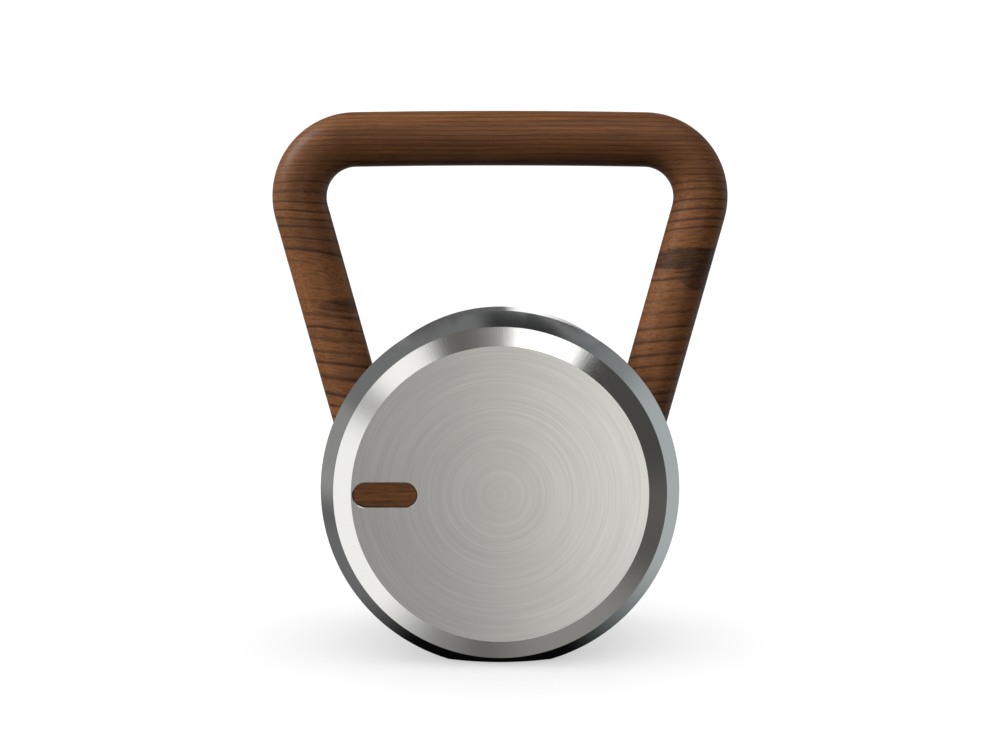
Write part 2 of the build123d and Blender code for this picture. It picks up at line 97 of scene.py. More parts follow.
class Canvas:
    """Adds nodes to one tree and joins them."""

    def __init__(self, tree: bpy.types.NodeTree) -> None:
        """Works on a tree.

        Args:
            tree: the shader, world or geometry node tree to add to.
        """
        self.tree = tree

    def add(self, kind: str, **settings: object) -> bpy.types.Node:
        """Adds one node.

        Args:
            kind: the node's type name.
            settings: properties to set on the node.

        Returns:
            The new node.
        """
        node = self.tree.nodes.new(kind)
        for name, value in settings.items():
            setattr(node, name, value)
        return node

    def feed(self, socket: bpy.types.NodeSocket, value: Value) -> None:
        """Joins a socket to another one, or sets its value.

        Args:
            socket: the input to feed.
            value: an output socket, a number or a sequence of numbers.
        """
        if isinstance(value, bpy.types.NodeSocket):
            self.tree.links.new(value, socket)
        else:
            socket.default_value = value

    def math(self, operation: str, *values: Value) -> bpy.types.NodeSocket:
        """Adds a Math node.

        Args:
            operation: what it works out.
            values: the one to three values that it works on.

        Returns:
            The result's socket.
        """
        node = self.add("ShaderNodeMath", operation=operation)
        for socket, value in zip(node.inputs, values):
            self.feed(socket, value)
        return node.outputs[0]

    def times(self, *values: Value) -> bpy.types.NodeSocket:
        """Multiplies numbers.

        Args:
            values: two or more of them.

        Returns:
            The product's socket.
        """
        product = values[0]
        for value in values[1:]:
            product = self.math("MULTIPLY", product, value)
        return product

    def vector(self, operation: str, *values: Value) -> bpy.types.NodeSocket:
        """Adds a Vector Math node.

        Args:
            operation: what it works out.
            values: the one or two vectors that it works on.

        Returns:
            The result's socket: a number for a length, and a vector otherwise.
        """
        node = self.add("ShaderNodeVectorMath", operation=operation)
        for socket, value in zip(node.inputs, values):
            self.feed(socket, value)
        return node.outputs["Value" if operation == "LENGTH" else "Vector"]

    def combine(self, x: Value, y: Value, z: Value) -> bpy.types.NodeSocket:
        """Makes a vector.

        Args:
            x: its first value.
            y: its second value.
            z: its third value.

        Returns:
            The vector's socket.
        """
        node = self.add("ShaderNodeCombineXYZ")
        for socket, value in zip(node.inputs, (x, y, z)):
            self.feed(socket, value)
        return node.outputs[0]

    def alike(self, value: Value) -> bpy.types.NodeSocket:
        """Vector whose three values are the same one."""
        return self.combine(value, value, value)

    def separate(self, vector: bpy.types.NodeSocket) -> list[bpy.types.NodeSocket]:
        """Takes a vector apart.

        Args:
            vector: its socket.

        Returns:
            The sockets of its three values.
        """
        node = self.add("ShaderNodeSeparateXYZ")
        self.feed(node.inputs[0], vector)
        return list(node.outputs)

    def remap(self, value: Value, low: float, high: float, to_low: Value = 0.0,
              to_high: Value = 1.0) -> bpy.types.NodeSocket:
        """Carries one range to another, easing in and out, and clamps it.

        Args:
            value: what to carry.
            low: start of the range it comes from.
            high: end of the range it comes from.
            to_low: result at low.
            to_high: result at high.

        Returns:
            The result's socket.
        """
        node = self.add("ShaderNodeMapRange", interpolation_type="SMOOTHSTEP")
        for socket, part in zip(node.inputs, (value, low, high, to_low, to_high)):
            self.feed(socket, part)
        return node.outputs[0]

    def noise(self, vector: Value, scale: float = 1.0, detail: float = 2.0,
              roughness: float = 0.5) -> bpy.types.NodeSocket:
        """Adds a Noise Texture.

        Args:
            vector: where it is read.
            scale: repeats per unit of that vector.
            detail: number of finer layers.
            roughness: strength of each finer layer.

        Returns:
            The socket of its value, from 0 to 1.
        """
        node = self.add("ShaderNodeTexNoise", noise_dimensions="3D")
        settings = {"Vector": vector, "Scale": scale, "Detail": detail, "Roughness": roughness}
        for name, part in settings.items():
            self.feed(node.inputs[name], part)
        return node.outputs[0]

    def mix(self, factor: Value, first: Value, second: Value) -> bpy.types.NodeSocket:
        """Lays one colour over another.

        Args:
            factor: how much of the second.
            first: colour under it.
            second: colour over it.

        Returns:
            The mixed colour's socket.
        """
        node = self.add("ShaderNodeMix", data_type="RGBA", clamp_factor=True)
        for number, part in ((0, factor), (6, first), (7, second)):
            whole = (*part, 1.0) if isinstance(part, tuple) and len(part) == 3 else part
            self.feed(node.inputs[number], whole)
        return node.outputs[2]

    def group(self, tree: bpy.types.NodeTree, **values: Value) -> bpy.types.Node:
        """Places a node group.

        Args:
            tree: the group.
            values: its inputs by name, with _ for a space.

        Returns:
            The group's node.
        """
        node = self.add("ShaderNodeGroup", node_tree=tree)
        for name, value in values.items():
            self.feed(node.inputs[name.replace("_", " ")], value)
        return node


def new_group(kind: str, name: str, inputs: Sequence[tuple[str, str, object]],
              outputs: Sequence[tuple[str, str]]) -> tuple[Canvas, Sockets, bpy.types.Node]:
    """Starts a node group.

    Args:
        kind: ShaderNodeTree or GeometryNodeTree.
        name: the group's name.
        inputs: name, socket type and first value of each input, with None for no value.
        outputs: name and socket type of each output.

    Returns:
        A canvas on the group, its inputs' sockets by name, and its output node.
    """
    tree = bpy.data.node_groups.new(name, kind)
    for label, socket_type, value in inputs:
        socket = tree.interface.new_socket(label, in_out="INPUT", socket_type=f"NodeSocket{socket_type}")
        if value is not None:
            socket.default_value = value
    for label, socket_type in outputs:
        tree.interface.new_socket(label, in_out="OUTPUT", socket_type=f"NodeSocket{socket_type}")
    canvas = Canvas(tree)
    given = {socket.name: socket for socket in canvas.add("NodeGroupInput").outputs if socket.name}
    return canvas, given, canvas.add("NodeGroupOutput")


def turning_marks() -> bpy.types.NodeTree:
    """Makes the group of marks that a lathe and a brushing belt leave round an axis along Y.

    Returns:
        The group. Its outputs are Rings, fine lines round the axis, Bands, wide soft ones, and Streaks,
        short lines across a bevel, each from 0 to 1, and Radius, the distance from the axis.
    """
    bands_per_ring = 0.4
    changes_across_bevel = 60.0  # per metre, so that a streak crosses the whole bevel
    c, given, out = new_group(
        "ShaderNodeTree", "Turning marks",
        [("Position", "Vector", None), ("Axis Height", "Float", 0.087), ("Pitch", "Float", 0.5 * MM),
         ("Ring Length", "Float", 50.0 * MM), ("Streak Count", "Float", 220.0)],
        [("Rings", "Float"), ("Bands", "Float"), ("Streaks", "Float"), ("Radius", "Float")])
    x, y, z = c.separate(given["Position"])
    up = c.math("SUBTRACT", z, given["Axis Height"])
    flat = c.combine(x, up, 0.0)
    radius = c.vector("LENGTH", flat)
    across, above, _ = c.separate(c.vector("NORMALIZE", flat))
    c.feed(out.inputs["Radius"], radius)
    outward = c.math("ADD", radius, y)
    ring = c.math("DIVIDE", outward, given["Pitch"])
    along = [c.math("DIVIDE", part, given["Ring Length"]) for part in (x, up)]
    c.feed(out.inputs["Rings"], c.noise(c.combine(ring, *along), detail=3.0, roughness=0.6))
    band = c.times(ring, bands_per_ring)
    c.feed(out.inputs["Bands"], c.noise(c.combine(band, *along), roughness=0.6))
    spoke = [c.times(part, given["Streak Count"]) for part in (across, above)]
    streak = c.combine(*spoke, c.times(outward, changes_across_bevel))
    c.feed(out.inputs["Streaks"], c.noise(streak, detail=3.0, roughness=0.6))
    return c.tree


def handling() -> bpy.types.NodeTree:
    """Makes the group of soft unevenness that hands and cloths leave on a finish.

    Returns:
        The group. Its output Smear runs from 0 to 1.
    """
    c, given, out = new_group(
        "ShaderNodeTree", "Handling", [("Position", "Vector", None), ("Size", "Float", 30.0 * MM)],
        [("Smear", "Float")])
    c.feed(out.inputs["Smear"], c.noise(c.vector("DIVIDE", given["Position"], c.alike(given["Size"]))))
    return c.tree


@dataclass(frozen=True)
class GrowthLines:
    """A set of dark growth lines, each soft above and crisp below."""

    rate: float
    start: float
    patchy: float
    rise: float = 0.15
    fade: float = 0.3
    weakest: float = 0.5
    along: float = 16.0
    through: float = 30.0

    def draw(self, c: Canvas, ring: bpy.types.NodeSocket, x: bpy.types.NodeSocket,
             y: bpy.types.NodeSocket) -> bpy.types.NodeSocket:
        """Adds the lines to a group.

        Args:
            c: the group's canvas.
            ring: number of the growth ring at a place.
            x: place along the grain.
            y: place from front to back.

        Returns:
            The lines' strength, which comes and goes along the grain.
        """
        count = c.times(ring, self.rate)
        turn = c.math("FRACT", count)
        edge = c.times(c.remap(turn, 0.0, self.rise),
                       c.remap(turn, self.start, self.start + self.fade, 1.0, 0.0))
        come = c.noise(c.combine(c.times(x, self.along), c.times(y, self.through), count))
        return c.times(edge, c.remap(come, 0.5 - self.patchy, 0.5 + self.patchy, self.weakest, 1.0))


def wood_grain() -> bpy.types.NodeTree:
    """Makes the group of straight-grained wood with its grain along X.

    Returns:
        The group. Its outputs are Lines, the dark growth lines, Faint, weaker ones between them, Fibre, the
        fine streaks, Pores, the short open pores, and Tone, the slow change from light to dark wood, each
        from 0 to 1.
    """
    wander_depth, wander_rates = 9.0 * MM, (11.0, 12.0, 26.0)  # rates are repeats per metre on each axis
    ripple_depth, ripple_rates = 1.1 * MM, (70.0, 40.0, 120.0)
    tone_rates = (9.0, 22.0, 75.0)
    lean = 0.07  # how much the rings fall from front to back
    uneven_rings, uneven_along, uneven_across = 1.1, 1.5, 0.45  # most gained, repeats per metre and ring
    c, given, out = new_group(
        "ShaderNodeTree", "Wood grain",
        [("Position", "Vector", None), ("Shift", "Float", 0.0), ("Spacing", "Float", 5.0 * MM),
         ("Fineness", "Float", 1.0)],
        [("Lines", "Float"), ("Faint", "Float"), ("Fibre", "Float"), ("Pores", "Float"), ("Tone", "Float")])
    x, y, z = c.separate(given["Position"])

    def repeats(along: float, through: float, up: float,
                height: bpy.types.NodeSocket) -> bpy.types.NodeSocket:
        """Scales a place by its own number of repeats per metre on each axis.

        Args:
            along: repeats along the grain.
            through: repeats from front to back.
            up: repeats across the grain.
            height: the height to use.

        Returns:
            The scaled vector's socket.
        """
        return c.combine(c.times(x, along), c.times(y, through), c.times(height, up))

    def streaks(along: float, up: float, detail: float) -> bpy.types.NodeSocket:
        """Draws noise out along the grain.

        Args:
            along: repeats per metre along the grain.
            up: repeats per metre across it.
            detail: number of finer layers.

        Returns:
            The socket of its value.
        """
        drawn = c.vector("MULTIPLY", repeats(along, up * 0.6, up, level), c.alike(given["Fineness"]))
        return c.noise(drawn, detail=detail, roughness=0.6)

    level = c.math("ADD", z, given["Shift"])
    for depth, rates in ((wander_depth, wander_rates), (ripple_depth, ripple_rates)):
        swing = c.math("SUBTRACT", c.noise(repeats(*rates, z)), 0.5)
        level = c.math("ADD", level, c.times(swing, depth))
    level = c.math("ADD", level, c.times(y, lean))
    ring = c.math("DIVIDE", level, given["Spacing"])
    uneven = c.noise(c.combine(c.times(x, uneven_along), 0.0, c.times(ring, uneven_across)), detail=1.0)
    ring = c.math("ADD", ring, c.times(uneven, uneven_rings))
    strong = GrowthLines(rate=1.0, start=0.15, patchy=0.16)
    faint = GrowthLines(rate=2.7, start=0.1, patchy=0.1)
    c.feed(out.inputs["Lines"], strong.draw(c, ring, x, y))
    c.feed(out.inputs["Faint"], faint.draw(c, ring, x, y))
    c.feed(out.inputs["Fibre"], streaks(along=60.0, up=1100.0, detail=3.0))
    c.feed(out.inputs["Pores"], c.remap(streaks(along=210.0, up=2300.0, detail=1.0), 0.58, 0.7))
    c.feed(out.inputs["Tone"], c.remap(c.noise(repeats(*tone_rates, level)), 0.3, 0.7))
    return c.tree


class Effects:
    """The node groups that the finishes share, each built once."""

    def __init__(self) -> None:
        """Builds the groups."""
        self.turning = turning_marks()
        self.handling = handling()
        self.grain = wood_grain()


@dataclass(frozen=True)
class Finish:
    """What every finish has: a name, and a material with one Principled shader."""

    name: str

    def start(self) -> tuple[bpy.types.Material, Canvas, bpy.types.Node, bpy.types.NodeSocket]:
        """Makes the empty material.

        Returns:
            The material, its canvas, its Principled node and the Object coordinates.
        """
        material = bpy.data.materials.new(self.name)
        material.use_nodes = True
        canvas = Canvas(material.node_tree)
        shader = next(n for n in material.node_tree.nodes if n.type == "BSDF_PRINCIPLED")
        place = canvas.add("ShaderNodeTexCoord").outputs["Object"]
        return material, canvas, shader, place

    @staticmethod
    def bump(canvas: Canvas, shader: bpy.types.Node, height: Value, distance: float,
             strength: float = 1.0) -> None:
        """Gives a shader a bumped surface.

        Args:
            canvas: the material's canvas.
            shader: its Principled node.
            height: the surface's height, as a share of distance.
            distance: what a height of 1 stands for, in metres.
            strength: how strongly it shows.
        """
        node = canvas.add("ShaderNodeBump")
        canvas.feed(node.inputs["Height"], height)
        node.inputs["Distance"].default_value = distance
        node.inputs["Strength"].default_value = strength
        canvas.feed(shader.inputs["Normal"], node.outputs[0])


@dataclass(frozen=True)
class TurnedSteel(Finish):
    """Bare steel turned about the drum's axis: brushed in one zone, and polished outside it."""

    colour: Colour
    brushed_roughness: float
    polished_roughness: float
    axis_height: float
    zone: tuple[float, float]
    pitch: float
    ring_tone: float = 0.09
    band_tone: float = 0.03
    scratch_tone: float = 0.02
    ring_depth: float = 0.002 * MM
    streak_depth: float = 0.013 * MM
    smear: float = 0.02
    smear_size: float = 35.0 * MM
    zone_blur: float = 0.1 * MM

    def build(self, effects: Effects) -> bpy.types.Material:
        """Makes the material.

        Args:
            effects: the shared groups.

        Returns:
            The material.
        """
        material, c, shader, place = self.start()
        marks = c.group(effects.turning, Position=place, Axis_Height=self.axis_height,
                        Pitch=self.pitch).outputs
        smear = c.group(effects.handling, Position=place, Size=self.smear_size).outputs["Smear"]
        (start, end), blur = self.zone, self.zone_blur
        brushed = c.times(c.remap(marks["Radius"], start - blur, start + blur),
                          c.remap(marks["Radius"], end - blur, end + blur, 1.0, 0.0))
        polished = c.math("SUBTRACT", 1.0, brushed)

        def swing(mark: str, tone: float) -> bpy.types.NodeSocket:
            """Turns a mark from 0 to 1 into a change of tone.

            Args:
                mark: the mark's name.
                tone: the usual change, a quarter of the whole swing.

            Returns:
                The change's socket, which may be negative.
            """
            return c.times(c.math("SUBTRACT", marks[mark], 0.5), 4 * tone)

        fine = c.math("ADD", swing("Rings", self.ring_tone), swing("Bands", self.band_tone))
        tone = c.math("ADD", 1.0, c.times(brushed, fine))
        tone = c.math("ADD", tone, c.times(polished, swing("Streaks", self.scratch_tone)))
        c.feed(shader.inputs["Base Color"], c.vector("MULTIPLY", self.colour, c.alike(tone)))
        shader.inputs["Metallic"].default_value = 1.0
        rough = c.math("ADD", self.polished_roughness,
                       c.times(brushed, self.brushed_roughness - self.polished_roughness))
        c.feed(shader.inputs["Roughness"], c.math("ADD", rough, c.times(smear, self.smear)))
        rings = c.times(marks["Rings"], brushed, self.ring_depth / self.streak_depth)
        height = c.math("ADD", rings, c.times(marks["Streaks"], polished))
        self.bump(c, shader, height, self.streak_depth)
        return material


@dataclass(frozen=True)
class PlainSteel(Finish):
    """Bare steel with no marks that run round, for bolts and what is inside."""

    colour: Colour
    roughness: float
    grit: float = 900.0
    grit_depth: float = 0.01 * MM
    grit_roughness: float = 0.15
    smear_size: float = 12.0 * MM
    smear_shade: float = 0.8

    def build(self, effects: Effects) -> bpy.types.Material:
        """Makes the material.

        Args:
            effects: the shared groups.

        Returns:
            The material.
        """
        material, c, shader, place = self.start()
        smear = c.group(effects.handling, Position=place, Size=self.smear_size).outputs["Smear"]
        grit = c.noise(place, self.grit, detail=3.0, roughness=0.6)
        dark = tuple(part * self.smear_shade for part in self.colour)
        c.feed(shader.inputs["Base Color"], c.mix(smear, self.colour, dark))
        shader.inputs["Metallic"].default_value = 1.0
        c.feed(shader.inputs["Roughness"], c.math("ADD", self.roughness, c.times(grit, self.grit_roughness)))
        self.bump(c, shader, grit, self.grit_depth)
        return material


@dataclass(frozen=True)
class Figure:
    """A patch where the wood is darker, lighter or calmer, in the plane of the handle; one light patch on
    the walnut is partly painted light.

    A positive shade darkens it and a negative one lightens it. The patch bends the growth lines by push at
    its middle and has an edge as uneven as ragged, and a light one loses the share calm of its lines.
    """

    x: float
    z: float
    width: float
    height: float
    shade: float
    push: float = 0.0
    ragged: float = 0.25
    calm: float = 0.0

    def distance(self, c: Canvas, x: bpy.types.NodeSocket, z: bpy.types.NodeSocket,
                 ragged: bpy.types.NodeSocket) -> bpy.types.NodeSocket:
        """Distance from the patch's middle.

        Args:
            c: the material's canvas.
            x: place along the grain.
            z: height.
            ragged: unevenness from 0 to 1.

        Returns:
            The distance's socket, 1 at the patch's edge.
        """
        across = c.math("DIVIDE", c.math("SUBTRACT", x, self.x), self.width)
        up = c.math("DIVIDE", c.math("SUBTRACT", z, self.z), self.height)
        uneven = c.times(c.math("SUBTRACT", ragged, 0.5), 2 * self.ragged)
        return c.math("ADD", c.vector("LENGTH", c.combine(across, up, 0.0)), uneven)


@dataclass
class Patches:
    """What all the figures of a wood do together at each place."""

    shift: Value
    darker: Value = 0.0
    lighter: Value = 0.0
    calm: Value = 1.0

    def add(self, c: Canvas, figure: Figure, away: bpy.types.NodeSocket) -> None:
        """Takes one more figure in.

        Args:
            c: the material's canvas.
            figure: the figure.
            away: distance from its middle.
        """
        full, bent = 0.65, 1.3  # distances up to which it is at its strongest, and bends the lines
        near = c.remap(away, full, 1.0, 1.0, 0.0)
        if figure.push:
            bend = c.times(c.remap(away, 0.0, bent, 1.0, 0.0), figure.push)
            self.shift = c.math("ADD", self.shift, bend)
        if figure.shade > 0:
            self.darker = c.math("MAXIMUM", self.darker, c.times(near, figure.shade))
        if figure.shade < 0:
            self.lighter = c.math("MAXIMUM", self.lighter, c.times(near, -figure.shade))
            self.calm = c.times(self.calm, c.math("SUBTRACT", 1.0, c.times(near, figure.calm)))


@dataclass(frozen=True)
class Wood(Finish):
    """Oiled wood with its grain along X.

    Above the height close_above the growth lines come closer by the rate close_rate and grow weaker over
    close_fade. Below sag_zone they climb away from the middle at the slope sag, and less within it.
    """

    light: Colour
    middle: Colour
    dark: Colour
    line: Colour
    spacing: float
    roughness: float
    fineness: float = 1.0
    shift: float = 0.0
    line_strength: float = 0.88
    faint_strength: float = 0.3
    pore_strength: float = 0.5
    close_above: float = 1.0
    close_rate: float = 0.0
    close_fade: float = 12.0 * MM
    close_strength: float = 0.75
    sag: float = 0.0
    sag_zone: tuple[float, float] = (0.205, 0.25)
    figures: tuple[Figure, ...] = ()
    ragged_rates: tuple[float, float, float] = (60.0, 60.0, 420.0)
    highlight: float = 1.35
    specular: float = 0.16
    smear_size: float = 20.0 * MM
    smear: float = 0.06
    pore_roughness: float = 0.2
    pore_depth: float = 0.04 * MM
    fibre_height: float = 0.35

    def patches(self, c: Canvas, place: bpy.types.NodeSocket, above: bpy.types.NodeSocket) -> Patches:
        """Works out where the growth lines shift and where the wood is darker, lighter or calmer, the
        lighter partly as painted light.

        Args:
            c: the material's canvas.
            place: the Object coordinates.
            above: height above close_above.

        Returns:
            What the figures do together.
        """
        x, _, z = c.separate(place)
        shift = c.math("ADD", self.shift, c.times(above, self.close_rate))
        if self.sag:
            fall = c.times(c.math("ABSOLUTE", x), -self.sag)
            shift = c.math("ADD", shift, c.times(fall, c.remap(z, *self.sag_zone, 1.0, 0.0)))
        ragged = c.noise(c.vector("MULTIPLY", place, self.ragged_rates), detail=3.0, roughness=0.6)
        together = Patches(shift)
        for figure in self.figures:
            together.add(c, figure, figure.distance(c, x, z, ragged))
        return together

    def colour(self, c: Canvas, grain: bpy.types.NodeOutputs, patches: Patches,
               above: bpy.types.NodeSocket) -> bpy.types.NodeSocket:
        """Lays the wood's colours over one another.

        Args:
            c: the material's canvas.
            grain: outputs of the grain group.
            patches: what the figures do.
            above: height above close_above.

        Returns:
            The colour's socket.
        """
        fibre, usual = grain["Fibre"], 0.42
        bright = tuple(part * self.highlight for part in self.light)
        tone = c.mix(grain["Tone"], self.light, self.middle)
        # lighter patches of figure; one of them on the walnut is partly painted light from the left
        tone = c.mix(patches.lighter, tone, self.light)
        tone = c.mix(c.remap(fibre, usual, 0.75, 0.0, 0.8), tone, self.dark)
        tone = c.mix(c.remap(fibre, usual, 0.25, 0.0, 0.6), tone, bright)
        tone = c.mix(c.times(patches.darker, c.remap(fibre, 0.2, 0.6, 0.55, 1.0)), tone, self.line)
        tone = c.mix(c.times(grain["Faint"], patches.calm, self.faint_strength), tone, self.line)
        weaker = c.remap(above, 0.0, self.close_fade, 1.0, self.close_strength)
        strong = c.times(grain["Lines"], patches.calm, self.line_strength, weaker)
        tone = c.mix(strong, tone, self.line)
        return c.mix(c.times(grain["Pores"], self.pore_strength), tone, self.line)

    def build(self, effects: Effects) -> bpy.types.Material:
        """Makes the material.

        Args:
            effects: the shared groups.

        Returns:
            The material.
        """
        material, c, shader, place = self.start()
        height = c.separate(place)[2]
        above = c.math("MAXIMUM", c.math("SUBTRACT", height, self.close_above), 0.0)
        patches = self.patches(c, place, above)
        grain = c.group(effects.grain, Position=place, Shift=patches.shift, Spacing=self.spacing,
                        Fineness=self.fineness).outputs
        c.feed(shader.inputs["Base Color"], self.colour(c, grain, patches, above))
        shader.inputs["Specular IOR Level"].default_value = self.specular
        smear = c.group(effects.handling, Position=place, Size=self.smear_size).outputs["Smear"]
        rough = c.math("ADD", self.roughness, c.times(grain["Pores"], self.pore_roughness))
        c.feed(shader.inputs["Roughness"], c.math("ADD", rough, c.times(smear, self.smear)))
        relief = c.math("SUBTRACT", c.times(grain["Fibre"], self.fibre_height), grain["Pores"])
        self.bump(c, shader, relief, self.pore_depth, strength=0.6)
        return material


@dataclass(frozen=True)
class Rubber(Finish):
    """Matt black rubber."""

    colour: Colour
    grain: float = 2600.0
    grain_depth: float = 0.03 * MM
    dust: float = 1.8
    dust_share: float = 0.5
    least_roughness: float = 0.62
    most_roughness: float = 0.85
    smear_size: float = 10.0 * MM

    def build(self, effects: Effects) -> bpy.types.Material:
        """Makes the material.

        Args:
            effects: the shared groups.

        Returns:
            The material.
        """
        material, c, shader, place = self.start()
        grain = c.noise(place, self.grain, detail=3.0, roughness=0.6)
        smear = c.group(effects.handling, Position=place, Size=self.smear_size).outputs["Smear"]
        dusty = tuple(part * self.dust for part in self.colour)
        c.feed(shader.inputs["Base Color"], c.mix(c.times(smear, self.dust_share), self.colour, dusty))
        rough = c.remap(grain, 0.3, 0.7, self.least_roughness, self.most_roughness)
        c.feed(shader.inputs["Roughness"], rough)
        self.bump(c, shader, grain, self.grain_depth)
        return material


# --- Meshes --------------------------------------------------------------------------------------------


def softened(outline: Sequence[Point2], radius: float, closed: bool, steps: int = 4,
             support: float = 0.08 * MM, straight: float = math.radians(2)) -> list[Point2]:
    """Rounds the corners of an outline, and adds a point on each side of a corner so that it shades cleanly.

    Args:
        outline: the corners.
        radius: radius of the rounding, less where two corners are close.
        closed: whether the last corner joins the first.
        steps: straight runs in each rounding.
        support: distance from a rounding to the point beside it.
        straight: half of the least turn that counts as a corner.

    Returns:
        The new outline.
    """
    longest = 0.4  # share of a run that a rounding may take
    made: list[Point2] = []
    count = len(outline)
    for number, corner in enumerate(outline):
        if not closed and number in (0, count - 1):
            made.append(corner)
            continue
        here = Vector(corner)
        back, ahead = Vector(outline[number - 1]) - here, Vector(outline[(number + 1) % count]) - here
        half = back.angle(ahead) / 2
        if math.pi / 2 - half < straight:
            made.append(corner)
            continue
        reach = min(radius / math.tan(half), longest * back.length, longest * ahead.length)
        back.normalize()
        ahead.normalize()
        used = reach * math.tan(half)
        centre = here + (back + ahead).normalized() * used / math.sin(half)
        first, last = here + back * reach - centre, here + ahead * reach - centre
        made.append(tuple(here + back * (reach + min(support, reach))))
        turn = first.angle_signed(last)
        for step in range(steps + 1):
            angle = -turn * step / steps
            made.append((centre.x + first.x * math.cos(angle) - first.y * math.sin(angle),
                         centre.y + first.x * math.sin(angle) + first.y * math.cos(angle)))
        made.append(tuple(here + ahead * (reach + min(support, reach))))
    return made


def lathe(mesh: bmesh.types.BMesh, outline: Sequence[Point2], axis_z: float, closed: bool,
          segments: int = 256) -> Rings:
    """Turns an outline round the drum's axis.

    Args:
        mesh: the mesh to add to.
        outline: points (radius, y).
        axis_z: height of the axis.
        closed: whether the last point joins the first.
        segments: faces round the axis.

    Returns:
        One ring of vertices for each point, with a single vertex where the point is on the axis.
    """
    rings = []
    for radius, y in outline:
        if radius < SAME_PLACE:
            rings.append([mesh.verts.new((0.0, y, axis_z))])
            continue
        turns = [2 * math.pi * step / segments for step in range(segments)]
        rings.append([mesh.verts.new((radius * math.sin(turn), y, axis_z + radius * math.cos(turn)))
                      for turn in turns])
    pairs = list(zip(rings, rings[1:] + rings[:1])) if closed else list(zip(rings, rings[1:]))
    for inner, outer in pairs:
        for step in range(segments):
            after = (step + 1) % segments
            corners = [inner[step % len(inner)], inner[after % len(inner)], outer[after % len(outer)],
                       outer[step % len(outer)]]
            unique = list(dict.fromkeys(corners))
            if len(unique) > 2:
                mesh.faces.new(unique)
    return rings


def stadium(length: float, width: float, offset: float, steps: int = 24) -> list[Point2]:
    """Outline of a slot with round ends, about its middle.

    Args:
        length: overall length.
        width: overall width.
        offset: how far outside that line to draw it.
        steps: straight runs in each round end.

    Returns:
        The points.
    """
    radius = width / 2 + offset
    reach = (length - width) / 2
    points = []
    for side in (1, -1):
        for step in range(steps + 1):
            angle = math.pi * (step / steps - 0.5)
            points.append((side * (reach + radius * math.cos(angle)), side * radius * math.sin(angle)))
    return points


def rounded_rectangle(width: float, length: float, corner: float, offset: float,
                      steps: int = 8) -> list[Point2]:
    """Outline of a rectangle with round corners, about its middle.

    Args:
        width: size along the first axis.
        length: size along the second axis.
        corner: radius of the corners.
        offset: how far outside that line to draw it.
        steps: straight runs in each corner.

    Returns:
        The points.
    """
    points = []
    for quarter, (side, end) in enumerate(((1, 1), (-1, 1), (-1, -1), (1, -1))):
        for step in range(steps + 1):
            angle = math.pi / 2 * (quarter + step / steps)
            points.append((side * (width / 2 - corner) + (corner + offset) * math.cos(angle),
                           end * (length / 2 - corner) + (corner + offset) * math.sin(angle)))
    return points


def loop_edges(mesh: bmesh.types.BMesh, ring: Ring) -> list[bmesh.types.BMEdge]:
    """Finds the edges of a closed ring of vertices, and makes those that are missing.

    Args:
        mesh: the mesh.
        ring: the vertices in order.

    Returns:
        The edges in order.
    """
    pairs = zip(ring, list(ring[1:]) + [ring[0]])
    return [mesh.edges.get(pair) or mesh.edges.new(pair) for pair in pairs]


def fill_between(mesh: bmesh.types.BMesh, outer: Sequence[bmesh.types.BMEdge],
                 inner: Sequence[bmesh.types.BMEdge] = ()) -> None:
    """Fills a flat face inside an outline, with a hole or without.

    Args:
        mesh: the mesh to add to.
        outer: edges of the outline.
        inner: edges of the hole.
    """
    bmesh.ops.triangle_fill(mesh, use_beauty=True, edges=[*outer, *inner])


def wall(mesh: bmesh.types.BMesh, rings: Rings) -> None:
    """Joins rings of equal count with faces, each to the next.

    Args:
        mesh: the mesh to add to.
        rings: the rings in order.
    """
    for first, second in zip(rings, rings[1:]):
        for step in range(len(first)):
            after = (step + 1) % len(first)
            mesh.faces.new((first[step], first[after], second[after], second[step]))


def placed(name: str, data: bpy.types.ID) -> bpy.types.Object:
    """Puts a mesh, lamp or camera into the scene.

    Args:
        name: the object's name.
        data: what it shows.

    Returns:
        The object.
    """
    made = bpy.data.objects.new(name, data)
    bpy.context.scene.collection.objects.link(made)
    return made


def piece_from(mesh: bmesh.types.BMesh, name: str, material: bpy.types.Material,
               sharp: float = 32.0) -> bpy.types.Object:
    """Makes a finished piece from a closed mesh.

    Args:
        mesh: the mesh, which is freed.
        name: the piece's name.
        material: its material.
        sharp: angle in degrees past which an edge stays sharp.

    Returns:
        The object.
    """
    bmesh.ops.remove_doubles(mesh, verts=mesh.verts, dist=SAME_PLACE)
    bmesh.ops.recalc_face_normals(mesh, faces=mesh.faces)
    open_edges = sum(1 for edge in mesh.edges if len(edge.link_faces) != 2)
    for face in mesh.faces:
        face.smooth = True
    data = bpy.data.meshes.new(name)
    mesh.to_mesh(data)
    mesh.free()
    data.materials.append(material)
    data.set_sharp_from_angle(angle=math.radians(sharp))
    log.info("%s: %d faces, %d open edges", name, len(data.polygons), open_edges)
    return placed(name, data)


def settle(piece: bpy.types.Object, slot: Slot, *nodes: str) -> None:
    """Hands a finished piece to the frame.

    Args:
        piece: the piece.
        slot: the record's material slot; not used.
        nodes: the CAD nodes it stands for.
    """
    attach(piece, ROOT)
    if nodes:
        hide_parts(*nodes)


# --- Geometry nodes ------------------------------------------------------------------------------------


def end_tree(c: Canvas, shape: bpy.types.NodeSocket, finish: bpy.types.NodeSocket,
             out: bpy.types.Node) -> None:
    """Ends a geometry tree by making its copies real and giving them their finish.

    Args:
        c: the tree's canvas.
        shape: the geometry so far.
        finish: the tree's material input.
        out: the tree's output node.
    """
    real = c.add("GeometryNodeRealizeInstances")
    c.feed(real.inputs[0], shape)
    dressed = c.add("GeometryNodeSetMaterial")
    c.feed(dressed.inputs["Geometry"], real.outputs[0])
    c.feed(dressed.inputs["Material"], finish)
    c.feed(out.inputs[0], dressed.outputs[0])


